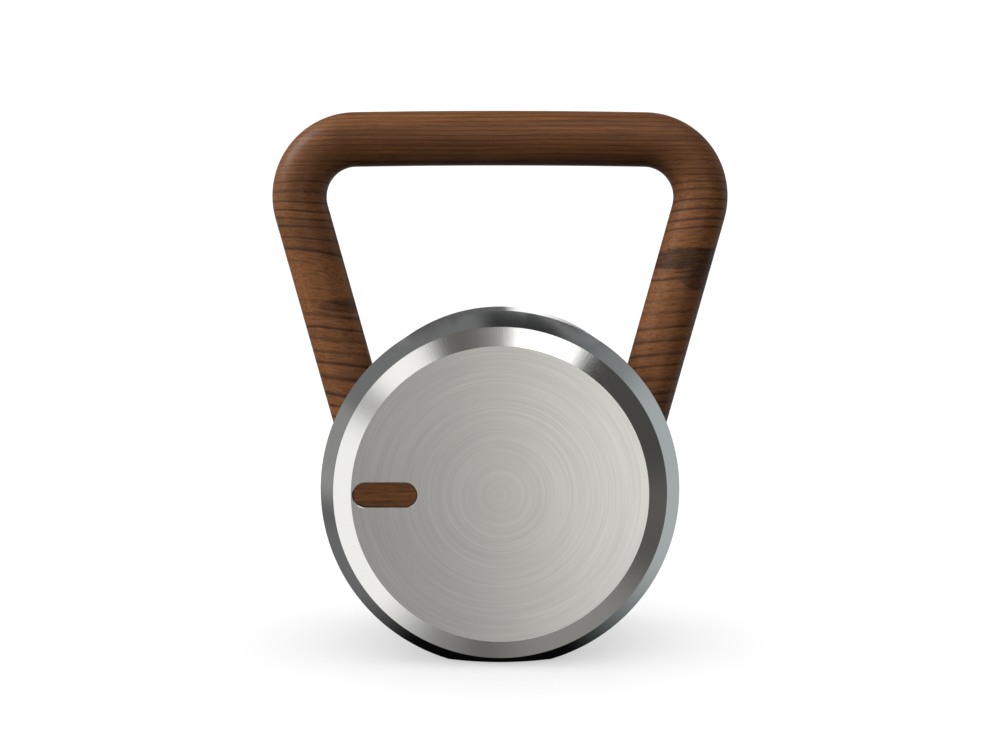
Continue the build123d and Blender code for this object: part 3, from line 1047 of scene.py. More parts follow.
def grown(name: str, guide: bpy.types.Mesh, tree: bpy.types.NodeTree, **values: object) -> bpy.types.Mesh:
    """Runs a geometry tree on a mesh.

    Args:
        name: name for the passing object.
        guide: the mesh it starts from.
        tree: the tree.
        values: the tree's inputs by name, with _ for a space.

    Returns:
        The plain mesh that it makes.
    """
    holder = placed(name, guide)
    modifier = holder.modifiers.new(name, "NODES")
    modifier.node_group = tree
    sockets = {item.name: item.identifier for item in tree.interface.items_tree if item.in_out == "INPUT"}
    for label, value in values.items():
        modifier[sockets[label.replace("_", " ")]] = value
    graph = bpy.context.evaluated_depsgraph_get()
    made = bpy.data.meshes.new_from_object(holder.evaluated_get(graph), depsgraph=graph)
    bpy.data.objects.remove(holder)
    return made


def repeated(name: str, positions: Sequence[Vector], pattern: bmesh.types.BMesh, size: float,
             material: bpy.types.Material) -> bpy.types.Mesh:
    """Copies a small closed shape to many places.

    Args:
        name: name for the tree.
        positions: where the copies go.
        pattern: the shape, about its own origin, which is freed.
        size: scale of the copies.
        material: the copies' material.

    Returns:
        One plain mesh with all the copies.
    """
    shape = bpy.data.meshes.new(f"{name} shape")
    pattern.to_mesh(shape)
    pattern.free()
    model = placed(f"{name} shape", shape)
    places = bpy.data.meshes.new(f"{name} places")
    places.from_pydata([tuple(position) for position in positions], [], [])
    c, given, out = new_group(
        "GeometryNodeTree", name,
        [("Geometry", "Geometry", None), ("Shape", "Object", None), ("Size", "Float", 1.0),
         ("Finish", "Material", None)], [("Geometry", "Geometry")])
    copied = c.add("GeometryNodeObjectInfo")
    c.feed(copied.inputs["Object"], given["Shape"])
    copies = c.add("GeometryNodeInstanceOnPoints")
    c.feed(copies.inputs["Points"], given["Geometry"])
    c.feed(copies.inputs["Instance"], copied.outputs["Geometry"])
    c.feed(copies.inputs["Scale"], c.alike(given["Size"]))
    end_tree(c, copies.outputs[0], given["Finish"], out)
    made = grown(name, places, c.tree, Shape=model, Size=size, Finish=material)
    bpy.data.objects.remove(model)
    return made


# --- Drum ----------------------------------------------------------------------------------------------


@dataclass
class WeightDrum:
    """The hollow drum with bevelled ends, a flat to stand on and a pocket for the pad."""

    radius: float
    axis_z: float
    end_y: float
    flat_z: float
    end_radius: float
    pad_width: float
    pad_length: float
    pad_top: float
    bevel_depth: float = 11.6 * MM
    bore_radius: float = 74.0 * MM
    relief_radius: float = 78.0 * MM
    relief_length: float = 50.0 * MM
    edge: float = 0.3 * MM
    pad_corner: float = 6.0 * MM
    pad_gap: float = 0.15 * MM

    def outline(self) -> list[Point2]:
        """Works out the drum's wall.

        Returns:
            Its closed outline, as points (radius, y).
        """
        relief, end, shoulder = self.relief_length / 2, self.end_y, self.end_y - self.bevel_depth
        corners = [(self.relief_radius, -relief), (self.relief_radius, relief), (self.bore_radius, relief),
                   (self.bore_radius, end), (self.end_radius, end), (self.radius, shoulder),
                   (self.radius, -shoulder), (self.end_radius, -end), (self.bore_radius, -end),
                   (self.bore_radius, -relief)]
        return softened(corners, self.edge, closed=True)

    def cut_flat(self, mesh: bmesh.types.BMesh) -> None:
        """Planes the flat and sinks the pad's pocket into it.

        Args:
            mesh: the turned drum.
        """
        everything = list(mesh.verts) + list(mesh.edges) + list(mesh.faces)
        cut = bmesh.ops.bisect_plane(mesh, geom=everything, plane_co=(0, 0, self.flat_z),
                                     plane_no=(0, 0, -1), clear_outer=True)
        rim = [part for part in cut["geom_cut"] if isinstance(part, bmesh.types.BMEdge)]
        outline = rounded_rectangle(self.pad_width, self.pad_length, self.pad_corner, self.pad_gap)
        mouth, floor = ([mesh.verts.new((x, y, z)) for x, y in outline] for z in (self.flat_z, self.pad_top))
        fill_between(mesh, rim, loop_edges(mesh, mouth))
        wall(mesh, (mouth, floor))
        mesh.faces.new(floor)

    def build(self, material: bpy.types.Material) -> bpy.types.Object:
        """Makes the piece.

        Args:
            material: the drum's steel.

        Returns:
            The piece.
        """
        mesh = bmesh.new()
        lathe(mesh, self.outline(), self.axis_z, closed=True)
        self.cut_flat(mesh)
        piece = piece_from(mesh, "drum_shell", material)
        settle(piece, Slot.DRUM, "weight_drum")
        return piece


@dataclass
class FacePlate:
    """A bevelled plate that closes one end of the drum, with its spigot and its boss."""

    end: End
    radius: float
    axis_z: float
    end_y: float
    face_y: float
    bevel_width: float = 9.3 * MM
    land: float = 0.3 * MM
    spigot_radius: float = 73.9 * MM
    spigot_length: float = 12.0 * MM
    boss_radius: float = 16.0 * MM
    boss_length: float = 8.0 * MM
    groove_middle: float = 9.2 * MM
    groove_width: float = 3.2 * MM
    groove_radius: float = 71.56 * MM
    edge: float = 0.22 * MM

    @property
    def face_radius(self) -> float:
        """Radius of the flat face."""
        return self.radius - self.bevel_width

    @property
    def boss_y(self) -> float:
        """Where the boss ends inside the drum, for the rear end."""
        return self.end_y - self.spigot_length - self.boss_length

    def body_outline(self) -> list[Point2]:
        """Works out the plate from the boss to the face.

        Returns:
            The corners out to the rim of the face, as points (radius, y) for the rear end.
        """
        spigot = self.end_y - self.spigot_length
        groove = self.end_y - self.groove_middle
        groove_start, groove_end = groove - self.groove_width / 2, groove + self.groove_width / 2
        return [(self.boss_radius, self.boss_y), (self.boss_radius, spigot), (self.spigot_radius, spigot),
                (self.spigot_radius, groove_start), (self.groove_radius, groove_start),
                (self.groove_radius, groove_end), (self.spigot_radius, groove_end),
                (self.spigot_radius, self.end_y), (self.radius, self.end_y),
                (self.radius, self.end_y + self.land), (self.face_radius, self.face_y)]

    def turned(self, corners: Sequence[Point2], closed: bool) -> tuple[bmesh.types.BMesh, Rings]:
        """Lathes a softened outline at this plate's end.

        Args:
            corners: points (radius, y) for the rear end.
            closed: whether the outline is a closed one.

        Returns:
            The mesh and its rings.
        """
        mesh = bmesh.new()
        outline = [(radius, self.end.value * y) for radius, y in softened(corners, self.edge, closed)]
        return mesh, lathe(mesh, outline, self.axis_z, closed)


@dataclass
class FrontPlate(FacePlate):
    """The front plate, with a pocket for the inlay and a blind tapped hole."""

    inlay_x: float = 0.0
    slot_length: float = 0.0
    slot_width: float = 0.0
    pocket_depth: float = 3.0 * MM
    mouth_rim: float = 0.4 * MM
    mouth_soft: float = 0.04 * MM
    face_edge: float = 1.0 * MM
    thread_radius: float = 6.02 * MM
    hole_depth: float = 16.5 * MM

    def pocket(self, mesh: bmesh.types.BMesh, rim: Ring) -> None:
        """Fills the flat face round the inlay's pocket and makes the pocket.

        Args:
            mesh: the turned plate.
            rim: the ring of vertices at the edge of the flat face.
        """
        bevel, soft = self.mouth_rim, self.mouth_soft
        steps = ((bevel + 2 * soft, 0.0), (bevel + soft, 0.0), (bevel - soft, soft), (soft, bevel - soft),
                 (0.0, bevel + soft), (0.0, bevel + 2 * soft), (0.0, self.pocket_depth))
        rings = []
        for offset, depth in steps:
            y = self.end.value * (self.face_y - depth)
            outline = stadium(self.slot_length, self.slot_width, offset)
            rings.append([mesh.verts.new((self.inlay_x + x, y, self.axis_z + z)) for x, z in outline])
        fill_between(mesh, loop_edges(mesh, rim), loop_edges(mesh, rings[0]))
        wall(mesh, rings)
        mesh.faces.new(rings[-1])

    def build(self, material: bpy.types.Material) -> bpy.types.Object:
        """Makes the piece.

        Args:
            material: the plate's steel.

        Returns:
            The piece.
        """
        bottom = self.boss_y + self.hole_depth
        hole = [(0.0, bottom), (self.thread_radius, bottom), (self.thread_radius, self.boss_y)]
        flat = [(self.face_radius - self.face_edge, self.face_y)]
        mesh, rings = self.turned(hole + self.body_outline() + flat, closed=False)
        self.pocket(mesh, rings[-1])
        piece = piece_from(mesh, "front_plate", material)
        settle(piece, Slot.PLATE, "front_face_plate")
        return piece


@dataclass
class RearPlate(FacePlate):
    """The rear plate, counterbored for the tie bolt's head."""

    recess_radius: float = 10.5 * MM
    recess_depth: float = 15.0 * MM
    hole_radius: float = 6.5 * MM
    recess_rim: float = 0.5 * MM

    def build(self, material: bpy.types.Material) -> bpy.types.Object:
        """Makes the piece.

        Args:
            material: the plate's steel.

        Returns:
            The piece.
        """
        seat = self.face_y - self.recess_depth
        recess = [(self.recess_radius + self.recess_rim, self.face_y),
                  (self.recess_radius, self.face_y - self.recess_rim), (self.recess_radius, seat),
                  (self.hole_radius, seat), (self.hole_radius, self.boss_y)]
        mesh, _ = self.turned(self.body_outline() + recess, closed=True)
        piece = piece_from(mesh, "rear_plate", material)
        settle(piece, Slot.PLATE, "rear_face_plate")
        return piece


@dataclass
class FaceInlay:
    """The walnut slip in the front plate."""

    middle_x: float
    axis_z: float
    length: float
    width: float
    face_y: float
    back_y: float
    edge: float = 0.3 * MM
    edge_steps: int = 4
    support: float = 0.1 * MM

    def build(self, material: bpy.types.Material) -> bpy.types.Object:
        """Makes the piece.

        Args:
            material: the inlay's walnut.

        Returns:
            The piece.
        """
        mesh = bmesh.new()
        soft = self.edge
        steps = [(-soft - self.support, 0.0)]
        for step in range(self.edge_steps + 1):
            angle = math.pi / 2 * step / self.edge_steps
            steps.append((-soft * (1 - math.sin(angle)), soft * (1 - math.cos(angle))))
        steps += [(0.0, soft + self.support), (0.0, self.back_y - self.face_y)]
        rings = []
        for offset, depth in steps:
            outline = stadium(self.length, self.width, offset)
            rings.append([mesh.verts.new((self.middle_x + x, self.face_y + depth, self.axis_z + z))
                          for x, z in outline])
        wall(mesh, rings)
        mesh.faces.new(rings[0])
        mesh.faces.new(rings[-1])
        piece = piece_from(mesh, "walnut_inlay", material)
        settle(piece, Slot.INLAY, "face_inlay")
        return piece


# --- Handle --------------------------------------------------------------------------------------------


@dataclass
class LoopHandle:
    """The walnut loop: a crowned bar, two corners and two legs that stand on the drum."""

    top_z: float
    grip_radius: float
    axis_z: float
    drum_radius: float
    core_radius: float = 7.1 * MM
    bar_half: float = 76.1 * MM
    bar_crown: float = 0.67 * MM
    corner_radius: float = 30.0 * MM
    leg_inset: float = 26.4 * MM
    seam_bevel: float = 0.12 * MM
    seam_gap: float = 0.02 * MM
    foot_bevel: float = 0.4 * MM
    bar_steps: int = 32
    corner_steps: int = 40
    leg_steps: int = 16
    leg_spare: float = 1.0 * MM
    outer_points: int = 49
    inner_points: int = 25
    weld: float = 0.002 * MM

    def line(self) -> list[Point2]:
        """Works out the right half of the handle's centreline.

        Returns:
            Points (x, z) from the middle of the bar down the leg, to just above where the section leaves
            the drum.
        """
        bar_z = self.top_z - self.grip_radius
        turn = 2 * math.atan(self.bar_crown / self.bar_half)
        curve = self.bar_half / math.sin(turn)
        points = []
        for step in range(self.bar_steps):
            angle = turn * step / self.bar_steps
            points.append((curve * math.sin(angle), bar_z - curve * (1 - math.cos(angle))))
        corner_x = self.bar_half - self.corner_radius * math.sin(turn)
        corner_z = bar_z - self.bar_crown - self.corner_radius * math.cos(turn)
        circle = self.drum_radius - self.leg_inset
        rise = corner_z - self.axis_z
        reach = math.hypot(corner_x, rise)
        lean = math.acos((circle - self.corner_radius) / reach) - math.atan2(rise, corner_x)
        sweep = math.pi / 2 + lean - turn
        for step in range(self.corner_steps + 1):
            angle = turn + sweep * step / self.corner_steps
            points.append((corner_x + self.corner_radius * math.sin(angle),
                           corner_z + self.corner_radius * math.cos(angle)))
        top = math.sqrt(reach**2 - (circle - self.corner_radius) ** 2)
        inner = circle - self.grip_radius
        last = math.sqrt(self.drum_radius**2 - inner**2) + self.leg_spare
        for step in range(1, self.leg_steps + 1):
            height = top + (last - top) * step / self.leg_steps
            points.append((circle * math.cos(lean) + height * math.sin(lean),
                           self.axis_z - circle * math.sin(lean) + height * math.cos(lean)))
        return points

    def section(self, c: Canvas, given: Sockets) -> bpy.types.NodeSocket:
        """Draws the closed outline of one half's section.

        Args:
            c: the tree's canvas.
            given: the tree's inputs.

        Returns:
            The outline's socket.
        """
        grip, core, bevel = given["Grip Radius"], given["Core Radius"], given["Seam Bevel"]
        rim = c.math("SUBTRACT", grip, bevel)
        tilt = c.math("ARCSINE", c.math("DIVIDE", bevel, grip))
        outline = c.add("GeometryNodeJoinGeometry")
        for radius, less, count in ((grip, tilt, self.outer_points), (core, 0.0, self.inner_points)):
            arc = c.add("GeometryNodeCurveArc")
            arc.inputs["Resolution"].default_value = count
            c.feed(arc.inputs["Radius"], radius)
            c.feed(arc.inputs["Start Angle"], c.math("ADD", -math.pi / 2, less))
            c.feed(arc.inputs["Sweep Angle"], c.math("SUBTRACT", math.pi, c.times(less, 2.0)))
            c.feed(outline.inputs[0], arc.outputs["Curve"])
        high = c.times(c.math("COSINE", tilt), grip)
        for up in (1.0, -1.0):
            corners = (c.combine(bevel, c.times(high, up), 0.0),
                       c.combine(given["Seam Gap"], c.times(rim, up), 0.0),
                       c.combine(0.0, c.times(core, up), 0.0))
            for start, finish in zip(corners, corners[1:]):
                flat = c.add("GeometryNodeCurvePrimitiveLine")
                c.feed(flat.inputs["Start"], start)
                c.feed(flat.inputs["End"], finish)
                c.feed(outline.inputs[0], flat.outputs[0])
        turned = c.add("GeometryNodeTransform")
        c.feed(turned.inputs["Geometry"], outline.outputs[0])
        c.feed(turned.inputs["Scale"], c.combine(given["Side"], 1.0, 1.0))
        return turned.outputs[0]

    def tree(self) -> bpy.types.NodeTree:
        """Makes the geometry nodes that sweep half of a hollow round section along a line.

        Returns:
            The tree. Its inputs are the line, as a mesh of edges, Grip Radius, Core Radius, Seam Bevel,
            Seam Gap, Side and Finish.
        """
        sizes = ("Grip Radius", "Core Radius", "Seam Bevel", "Seam Gap", "Side")
        c, given, out = new_group(
            "GeometryNodeTree", "Split loop handle",
            [("Geometry", "Geometry", None), *((size, "Float", None) for size in sizes),
             ("Finish", "Material", None)], [("Geometry", "Geometry")])
        line = c.add("GeometryNodeMeshToCurve")
        c.feed(line.inputs["Mesh"], given["Geometry"])
        framed = c.add("GeometryNodeSetCurveNormal", mode="FREE")
        c.feed(framed.inputs["Curve"], line.outputs[0])
        framed.inputs["Normal"].default_value = (0.0, -1.0, 0.0)
        swept = c.add("GeometryNodeCurveToMesh")
        c.feed(swept.inputs["Curve"], framed.outputs[0])
        c.feed(swept.inputs["Profile Curve"], self.section(c, given))
        joined = c.add("GeometryNodeMergeByDistance")
        c.feed(joined.inputs["Geometry"], swept.outputs[0])
        joined.inputs["Distance"].default_value = self.weld
        end_tree(c, joined.outputs[0], given["Finish"], out)
        return c.tree

    def cope(self, mesh: bmesh.types.BMesh) -> None:
        """Runs the two ends of a half down to the drum and closes them.

        Args:
            mesh: the swept half, open at its two ends.
        """
        line = self.line()
        (x1, z1), (x2, z2) = line[-2:]
        for side in (1, -1):
            down = Vector((side * (x2 - x1), 0.0, z2 - z1)).normalized()
            foot = Vector((side * x2, 0.0, z2))
            ring = [edge for edge in mesh.edges if edge.is_boundary
                    and all(abs((vert.co - foot).dot(down)) < 10 * SAME_PLACE for vert in edge.verts)
                    and (edge.verts[0].co - foot).length < 2 * self.grip_radius]
            for lift, inset in ((self.foot_bevel, 0.0), (0.0, self.foot_bevel)):
                made = bmesh.ops.extrude_edge_only(mesh, edges=ring)["geom"]
                for vert in (part for part in made if isinstance(part, bmesh.types.BMVert)):
                    centre = foot + down * (vert.co - foot).dot(down)
                    spoke = vert.co - centre
                    if spoke.length > self.core_radius + self.foot_bevel:
                        vert.co -= spoke.normalized() * inset
                    from_axis = vert.co - Vector((0.0, vert.co.y, self.axis_z))
                    along = from_axis.dot(down)
                    beside = from_axis.length_squared - along**2
                    vert.co -= down * (along + math.sqrt((self.drum_radius + lift)**2 - beside))
                ring = [part for part in made if isinstance(part, bmesh.types.BMEdge) and part.is_boundary]
            fill_between(mesh, ring)

    def build(self, material: bpy.types.Material) -> list[bpy.types.Object]:
        """Makes the front and the rear half.

        Args:
            material: the handle's walnut.

        Returns:
            The two pieces.
        """
        right = self.line()
        path = [(-x, z) for x, z in reversed(right[1:])] + right
        steps = [(number, number + 1) for number in range(len(path) - 1)]
        tree = self.tree()
        pieces = []
        for name, side in (("front", 1.0), ("rear", -1.0)):
            guide = bpy.data.meshes.new(f"{name}_line")
            guide.from_pydata([(x, 0.0, z) for x, z in path], steps, [])
            swept = grown(f"{name}_line", guide, tree, Grip_Radius=self.grip_radius,
                          Core_Radius=self.core_radius, Seam_Bevel=self.seam_bevel,
                          Seam_Gap=self.seam_gap, Side=side, Finish=material)
            mesh = bmesh.new()
            mesh.from_mesh(swept)
            self.cope(mesh)
            piece = piece_from(mesh, f"walnut_{name}", material)
            piece.visible_glossy = False  # the drum's bevel shows only the studio
            settle(piece, Slot.HANDLE, f"handle_{name}_half")
            pieces.append(piece)
        return pieces


# --- Small pieces --------------------------------------------------------------------------------------


@dataclass
class FootPad:
    """The rubber pad let into the flat, with studs on its underside."""

    width: float
    length: float
    top_z: float
    corner: float = 6.0 * MM
    edge: float = 0.25 * MM
    stud_height: float = 0.35 * MM
    stud_radius: float = 1.1 * MM
    stud_pitch: float = 3.2 * MM
    stud_margin: float = 2.6 * MM
    stud_sides: int = 10
    stud_taper: float = 0.8
    stud_sunk: float = 0.2 * MM

    def studs(self, material: bpy.types.Material) -> bpy.types.Mesh:
        """Makes rows of low round studs that reach down to the floor.

        Args:
            material: the pad's rubber.

        Returns:
            One mesh with all of them.
        """
        height = self.stud_height + self.stud_sunk
        stud = bmesh.new()
        bmesh.ops.create_cone(stud, cap_ends=True, segments=self.stud_sides, radius1=self.stud_taper,
                              radius2=1.0, depth=height / self.stud_radius)
        across = int((self.width / 2 - self.stud_margin) / self.stud_pitch)
        along = int((self.length / 2 - self.stud_margin) / self.stud_pitch)
        places = []
        for column in range(-across, across + 1):
            for row in range(-along, along + 1):
                x, y = column * self.stud_pitch, row * self.stud_pitch
                corner = Vector((max(0.0, abs(x) - self.width / 2 + self.corner),
                                 max(0.0, abs(y) - self.length / 2 + self.corner)))
                if corner.length < self.corner - self.stud_margin + self.stud_radius / 2:
                    places.append(Vector((x, y, height / 2)))
        return repeated("Pad studs", places, stud, self.stud_radius, material)

    def build(self, material: bpy.types.Material) -> bpy.types.Object:
        """Makes the piece.

        Args:
            material: the pad's rubber.

        Returns:
            The piece.
        """
        mesh = bmesh.new()
        soft, bottom = self.edge, self.stud_height
        halfway = 0.3 * soft  # how far the round edge's middle is from its two sides
        levels = [(-soft, bottom), (-halfway, bottom + halfway), (0.0, bottom + soft), (0.0, self.top_z)]
        rings = []
        for offset, z in levels:
            outline = rounded_rectangle(self.width, self.length, self.corner, offset)
            rings.append([mesh.verts.new((x, y, z)) for x, y in outline])
        wall(mesh, rings)
        mesh.faces.new(rings[0])
        mesh.faces.new(rings[-1])
        mesh.from_mesh(self.studs(material))
        piece = piece_from(mesh, "rubber_pad", material)
        settle(piece, Slot.FOOT, "foot_pad")
        return piece


@dataclass
class TieBolt:
    """The socket-headed bolt that draws the plates together, and its washer."""

    axis_z: float
    top_y: float
    end_y: float
    head_radius: float
    head_height: float = 12.0 * MM
    shank_radius: float = 6.0 * MM
    socket: float = 10.0 * MM
    socket_depth: float = 6.0 * MM
    washer_radius: float = 10.0 * MM
    washer_thickness: float = 2.0 * MM
    washer_hole: float = 6.5 * MM
    edge: float = 0.5 * MM
    rounding: float = 0.2 * MM
    washer_rounding: float = 0.3 * MM
    socket_chamfer: float = 0.3 * MM
    socket_flare: float = 1.06
    segments: int = 96
    knurl_depth: float = 0.2 * MM
    knurls: int = 60

    def knurling(self, material: bpy.types.Material) -> bpy.types.Mesh:
        """Makes straight ridges round the head.

        Args:
            material: the bolt's steel.

        Returns:
            One mesh with all of them.
        """
        ridge = bmesh.new()
        length = self.head_height - 4 * self.edge
        bmesh.ops.create_cone(ridge, cap_ends=True, segments=6, radius1=1.0, radius2=1.0,
                              depth=length / self.knurl_depth)
        for vert in ridge.verts:
            vert.co = vert.co.xzy
        radius, y = self.head_radius - self.knurl_depth, self.top_y - self.head_height / 2
        turns = [2 * math.pi * number / self.knurls for number in range(self.knurls)]
        places = [Vector((radius * math.sin(turn), y, self.axis_z + radius * math.cos(turn)))
                  for turn in turns]
        return repeated("Head knurling", places, ridge, self.knurl_depth, material)

    def bolt(self, material: bpy.types.Material) -> bpy.types.Object:
        """Makes the bolt.

        Args:
            material: its steel.

        Returns:
            The piece.
        """
        seat, head = self.top_y - self.head_height, self.head_radius - self.knurl_depth
        chamfer = 1.5 * self.edge
        corners = [(0.0, self.end_y), (self.shank_radius, self.end_y), (self.shank_radius, seat),
                   (head, seat), (head, self.top_y - chamfer), (head - chamfer, self.top_y),
                   (head - 2 * chamfer, self.top_y)]
        mesh = bmesh.new()
        outline = softened(corners, self.rounding, closed=False)
        rings = lathe(mesh, outline, self.axis_z, closed=False, segments=self.segments)
        levels = ((self.socket_flare, 0.0), (1.0, self.socket_chamfer), (1.0, self.socket_depth))
        hexes = []
        for size, depth in levels:
            reach = size * self.socket / math.sqrt(3)
            turns = [math.pi / 3 * number for number in range(6)]
            hexes.append([mesh.verts.new((reach * math.cos(turn), self.top_y - depth,
                                          self.axis_z + reach * math.sin(turn))) for turn in turns])
        fill_between(mesh, loop_edges(mesh, rings[-1]), loop_edges(mesh, hexes[0]))
        wall(mesh, hexes)
        mesh.faces.new(hexes[-1])
        mesh.from_mesh(self.knurling(material))
        piece = piece_from(mesh, "tie_screw", material)
        settle(piece, Slot.BOLT, "tie_bolt")
        return piece

    def washer(self, material: bpy.types.Material) -> bpy.types.Object:
        """Makes the washer.

        Args:
            material: its steel.

        Returns:
            The piece.
        """
        seat = self.top_y - self.head_height
        under = seat - self.washer_thickness
        corners = [(self.washer_hole, seat), (self.washer_radius, seat), (self.washer_radius, under),
                   (self.washer_hole, under)]
        mesh = bmesh.new()
        outline = softened(corners, self.washer_rounding, closed=True)
        lathe(mesh, outline, self.axis_z, closed=True, segments=self.segments)
        piece = piece_from(mesh, "tie_washer", material)
        settle(piece, Slot.BOLT, "tie_bolt_washer")
        return piece

    def build(self, material: bpy.types.Material) -> list[bpy.types.Object]:
        """Makes the bolt and the washer.

        Args:
            material: their steel.

        Returns:
            The two pieces.
        """
        return [self.bolt(material), self.washer(material)]


@dataclass
class InnerPieces:
    """The pieces that no one sees: their CAD nodes stay, and each gets its finish."""

    finishes: dict[Slot, bpy.types.Material]

    NODES = {
        Slot.CORE: ("left_core_rod", "right_core_rod", "core_coupler", "coupler_pins", "left_saddle_block",
                    "right_saddle_block", "front_plate_key", "rear_plate_key"),
        Slot.BOLT: ("left_bolt_washer", "right_bolt_washer", "left_handle_bolt", "right_handle_bolt"),
        Slot.BALLAST: ("front_ballast_disc", "middle_ballast_disc", "rear_ballast_disc"),
        Slot.SPLICE: ("handle_splices",),
        Slot.INNER_RUBBER: ("front_seal_ring", "rear_seal_ring", "front_rattle_pad", "rear_rattle_pad"),
    }

    def dress(self) -> None:
        """Puts each slot's material on its CAD nodes, which stay as they are."""
        for slot, names in self.NODES.items():
            for name in names:
                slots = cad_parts[name].data.materials
                slots.clear()
                slots.append(self.finishes[slot])
                log.info("%s: %s", name, slot.value)


# --- Studio --------------------------------------------------------------------------------------------


@dataclass(frozen=True)
class StudioCard:
    """A soft panel of light seen in the steel.

    It reaches to both sides of its clock angle, as seen from the front, and from near to far in its tilt
    away from the -Y axis. All are in degrees, and so is the width soft of its blurred edges.
    """

    clock: float
    reach: float
    near: float
    far: float
    brightness: float
    tint: Colour = (1.0, 1.0, 1.0)
    soft: float = 5.0

    def light(self, c: Canvas, around: tuple[bpy.types.NodeSocket, bpy.types.NodeSocket],
              tilt: bpy.types.NodeSocket) -> bpy.types.NodeSocket:
        """Adds this card's light.

        Args:
            c: the world's canvas.
            around: x and z of the view direction, scaled to length 1 in their plane.
            tilt: tilt of the view direction from the -Y axis, in degrees.

        Returns:
            Its colour, black outside the card.
        """
        angle = math.radians(self.clock)
        facing = c.math("ADD", c.times(around[0], math.sin(angle)), c.times(around[1], math.cos(angle)))
        off = c.times(c.math("ARCCOSINE", facing), TO_DEGREES)
        beside = c.remap(off, self.reach - self.soft, self.reach + self.soft, 1.0, 0.0)
        inner = c.remap(tilt, self.near - self.soft, self.near + self.soft)
        outer = c.remap(tilt, self.far - self.soft, self.far + self.soft, 1.0, 0.0)
        share = c.times(beside, inner, outer, self.brightness)
        return c.vector("MULTIPLY", c.alike(share), self.tint)


@dataclass(frozen=True)
class Lamp:
    """A distant soft light.

    It lights only the objects that it names, or, where it names none, everything but the floor.
    """

    name: str
    towards: tuple[float, float, float]
    strength: float
    angle: float
    only: tuple[str, ...] = ()
    mirrored: bool = False


@dataclass
class Studio:
    """A white floor, soft light from above, panels round the object and the camera."""

    cards: tuple[StudioCard, ...]
    lights: tuple[Lamp, ...]
    gloom: float = 0.003
    backdrop: float = 1.1
    floor_white: float = 0.62
    floor_glow: float = 0.5
    floor_size: float = 30.0
    lens: float = 50.0
    sensor: float = 36.0
    place: tuple[float, float, float] = (0.0, -0.7367, 0.1950)
    pitch: float = 4.145

    def world(self) -> None:
        """Makes the panels, and plain white behind the object for the camera."""
        world = bpy.data.worlds.new("studio")
        bpy.context.scene.world = world
        world.use_nodes = True
        world.cycles_visibility.diffuse = False
        world.node_tree.nodes.clear()
        c = Canvas(world.node_tree)
        direction = c.add("ShaderNodeTexCoord").outputs["Generated"]
        x, y, z = c.separate(direction)
        across, _, above = c.separate(c.vector("NORMALIZE", c.combine(x, 0.0, z)))
        tilt = c.times(c.math("ARCCOSINE", c.times(y, -1.0)), TO_DEGREES)
        total: Value = (self.gloom,) * 3
        for card in self.cards:
            total = c.vector("ADD", card.light(c, (across, above), tilt), total)
        shine = c.add("ShaderNodeBackground")
        c.feed(shine.inputs["Color"], total)
        white = c.add("ShaderNodeBackground")
        white.inputs["Color"].default_value = (1.0, 1.0, 1.0, 1.0)
        white.inputs["Strength"].default_value = self.backdrop
        seen = c.add("ShaderNodeMixShader")
        c.feed(seen.inputs[0], c.add("ShaderNodeLightPath").outputs["Is Camera Ray"])
        c.feed(seen.inputs[1], shine.outputs[0])
        c.feed(seen.inputs[2], white.outputs[0])
        c.feed(c.add("ShaderNodeOutputWorld").inputs["Surface"], seen.outputs[0])

    def floor(self) -> None:
        """Lays the pale floor, which the steel doesn't mirror."""
        half = self.floor_size / 2
        corners = [(-half, -half, 0), (half, -half, 0), (half, half, 0), (-half, half, 0)]
        data = bpy.data.meshes.new("studio_floor")
        data.from_pydata(corners, [], [(0, 1, 2, 3)])
        material = bpy.data.materials.new("floor_paper")
        material.use_nodes = True
        shader = next(node for node in material.node_tree.nodes if node.type == "BSDF_PRINCIPLED")
        shader.inputs["Base Color"].default_value = (*(self.floor_white,) * 3, 1.0)
        shader.inputs["Emission Color"].default_value = (1.0, 1.0, 1.0, 1.0)
        shader.inputs["Emission Strength"].default_value = self.floor_glow
        shader.inputs["Roughness"].default_value = 1.0
        shader.inputs["Specular IOR Level"].default_value = 0.0
        data.materials.append(material)
        floor = placed("studio_floor", data)
        floor.visible_glossy = False
        floor.visible_diffuse = False

    def lamps(self) -> None:
        """Hangs the wide soft lights."""
        for lamp in self.lights:
            data = bpy.data.lights.new(lamp.name, "SUN")
            data.energy = lamp.strength
            data.angle = math.radians(lamp.angle)
            light = placed(lamp.name, data)
            light.rotation_euler = Vector(lamp.towards).to_track_quat("Z", "Y").to_euler()
            light.visible_glossy = lamp.mirrored
            group = bpy.data.collections.new(f"{lamp.name}_receivers")
            for name in lamp.only or ("studio_floor",):
                group.objects.link(bpy.data.objects[name])
            light.light_linking.receiver_collection = group
            for item in group.collection_objects:
                item.light_linking.link_state = "INCLUDE" if lamp.only else "EXCLUDE"

    def camera(self) -> None:
        """Places the camera in front of the drum, a little above it."""
        data = bpy.data.cameras.new("camera")
        data.lens = self.lens
        data.sensor_width = self.sensor
        camera = placed("camera", data)
        camera.location = self.place
        camera.rotation_euler = (math.radians(90.0 - self.pitch), 0.0, 0.0)
        bpy.context.scene.camera = camera

    def build(self) -> None:
        """Makes everything round the object, once the pieces that the lamps name are there."""
        self.world()
        self.floor()
        self.lamps()
        self.camera()
        bpy.context.scene.view_settings.view_transform = "Standard"
        bpy.context.scene.view_settings.look = "None"


COOL = (0.94, 1.0, 1.0)
WARM = (1.0, 0.985, 0.95)

# Bands of tilt that each surface mirrors
BEVEL = {"near": 36, "far": 78}
SHOULDER = {"near": 100, "far": 140}
ROUND = {"near": 82, "far": 95}

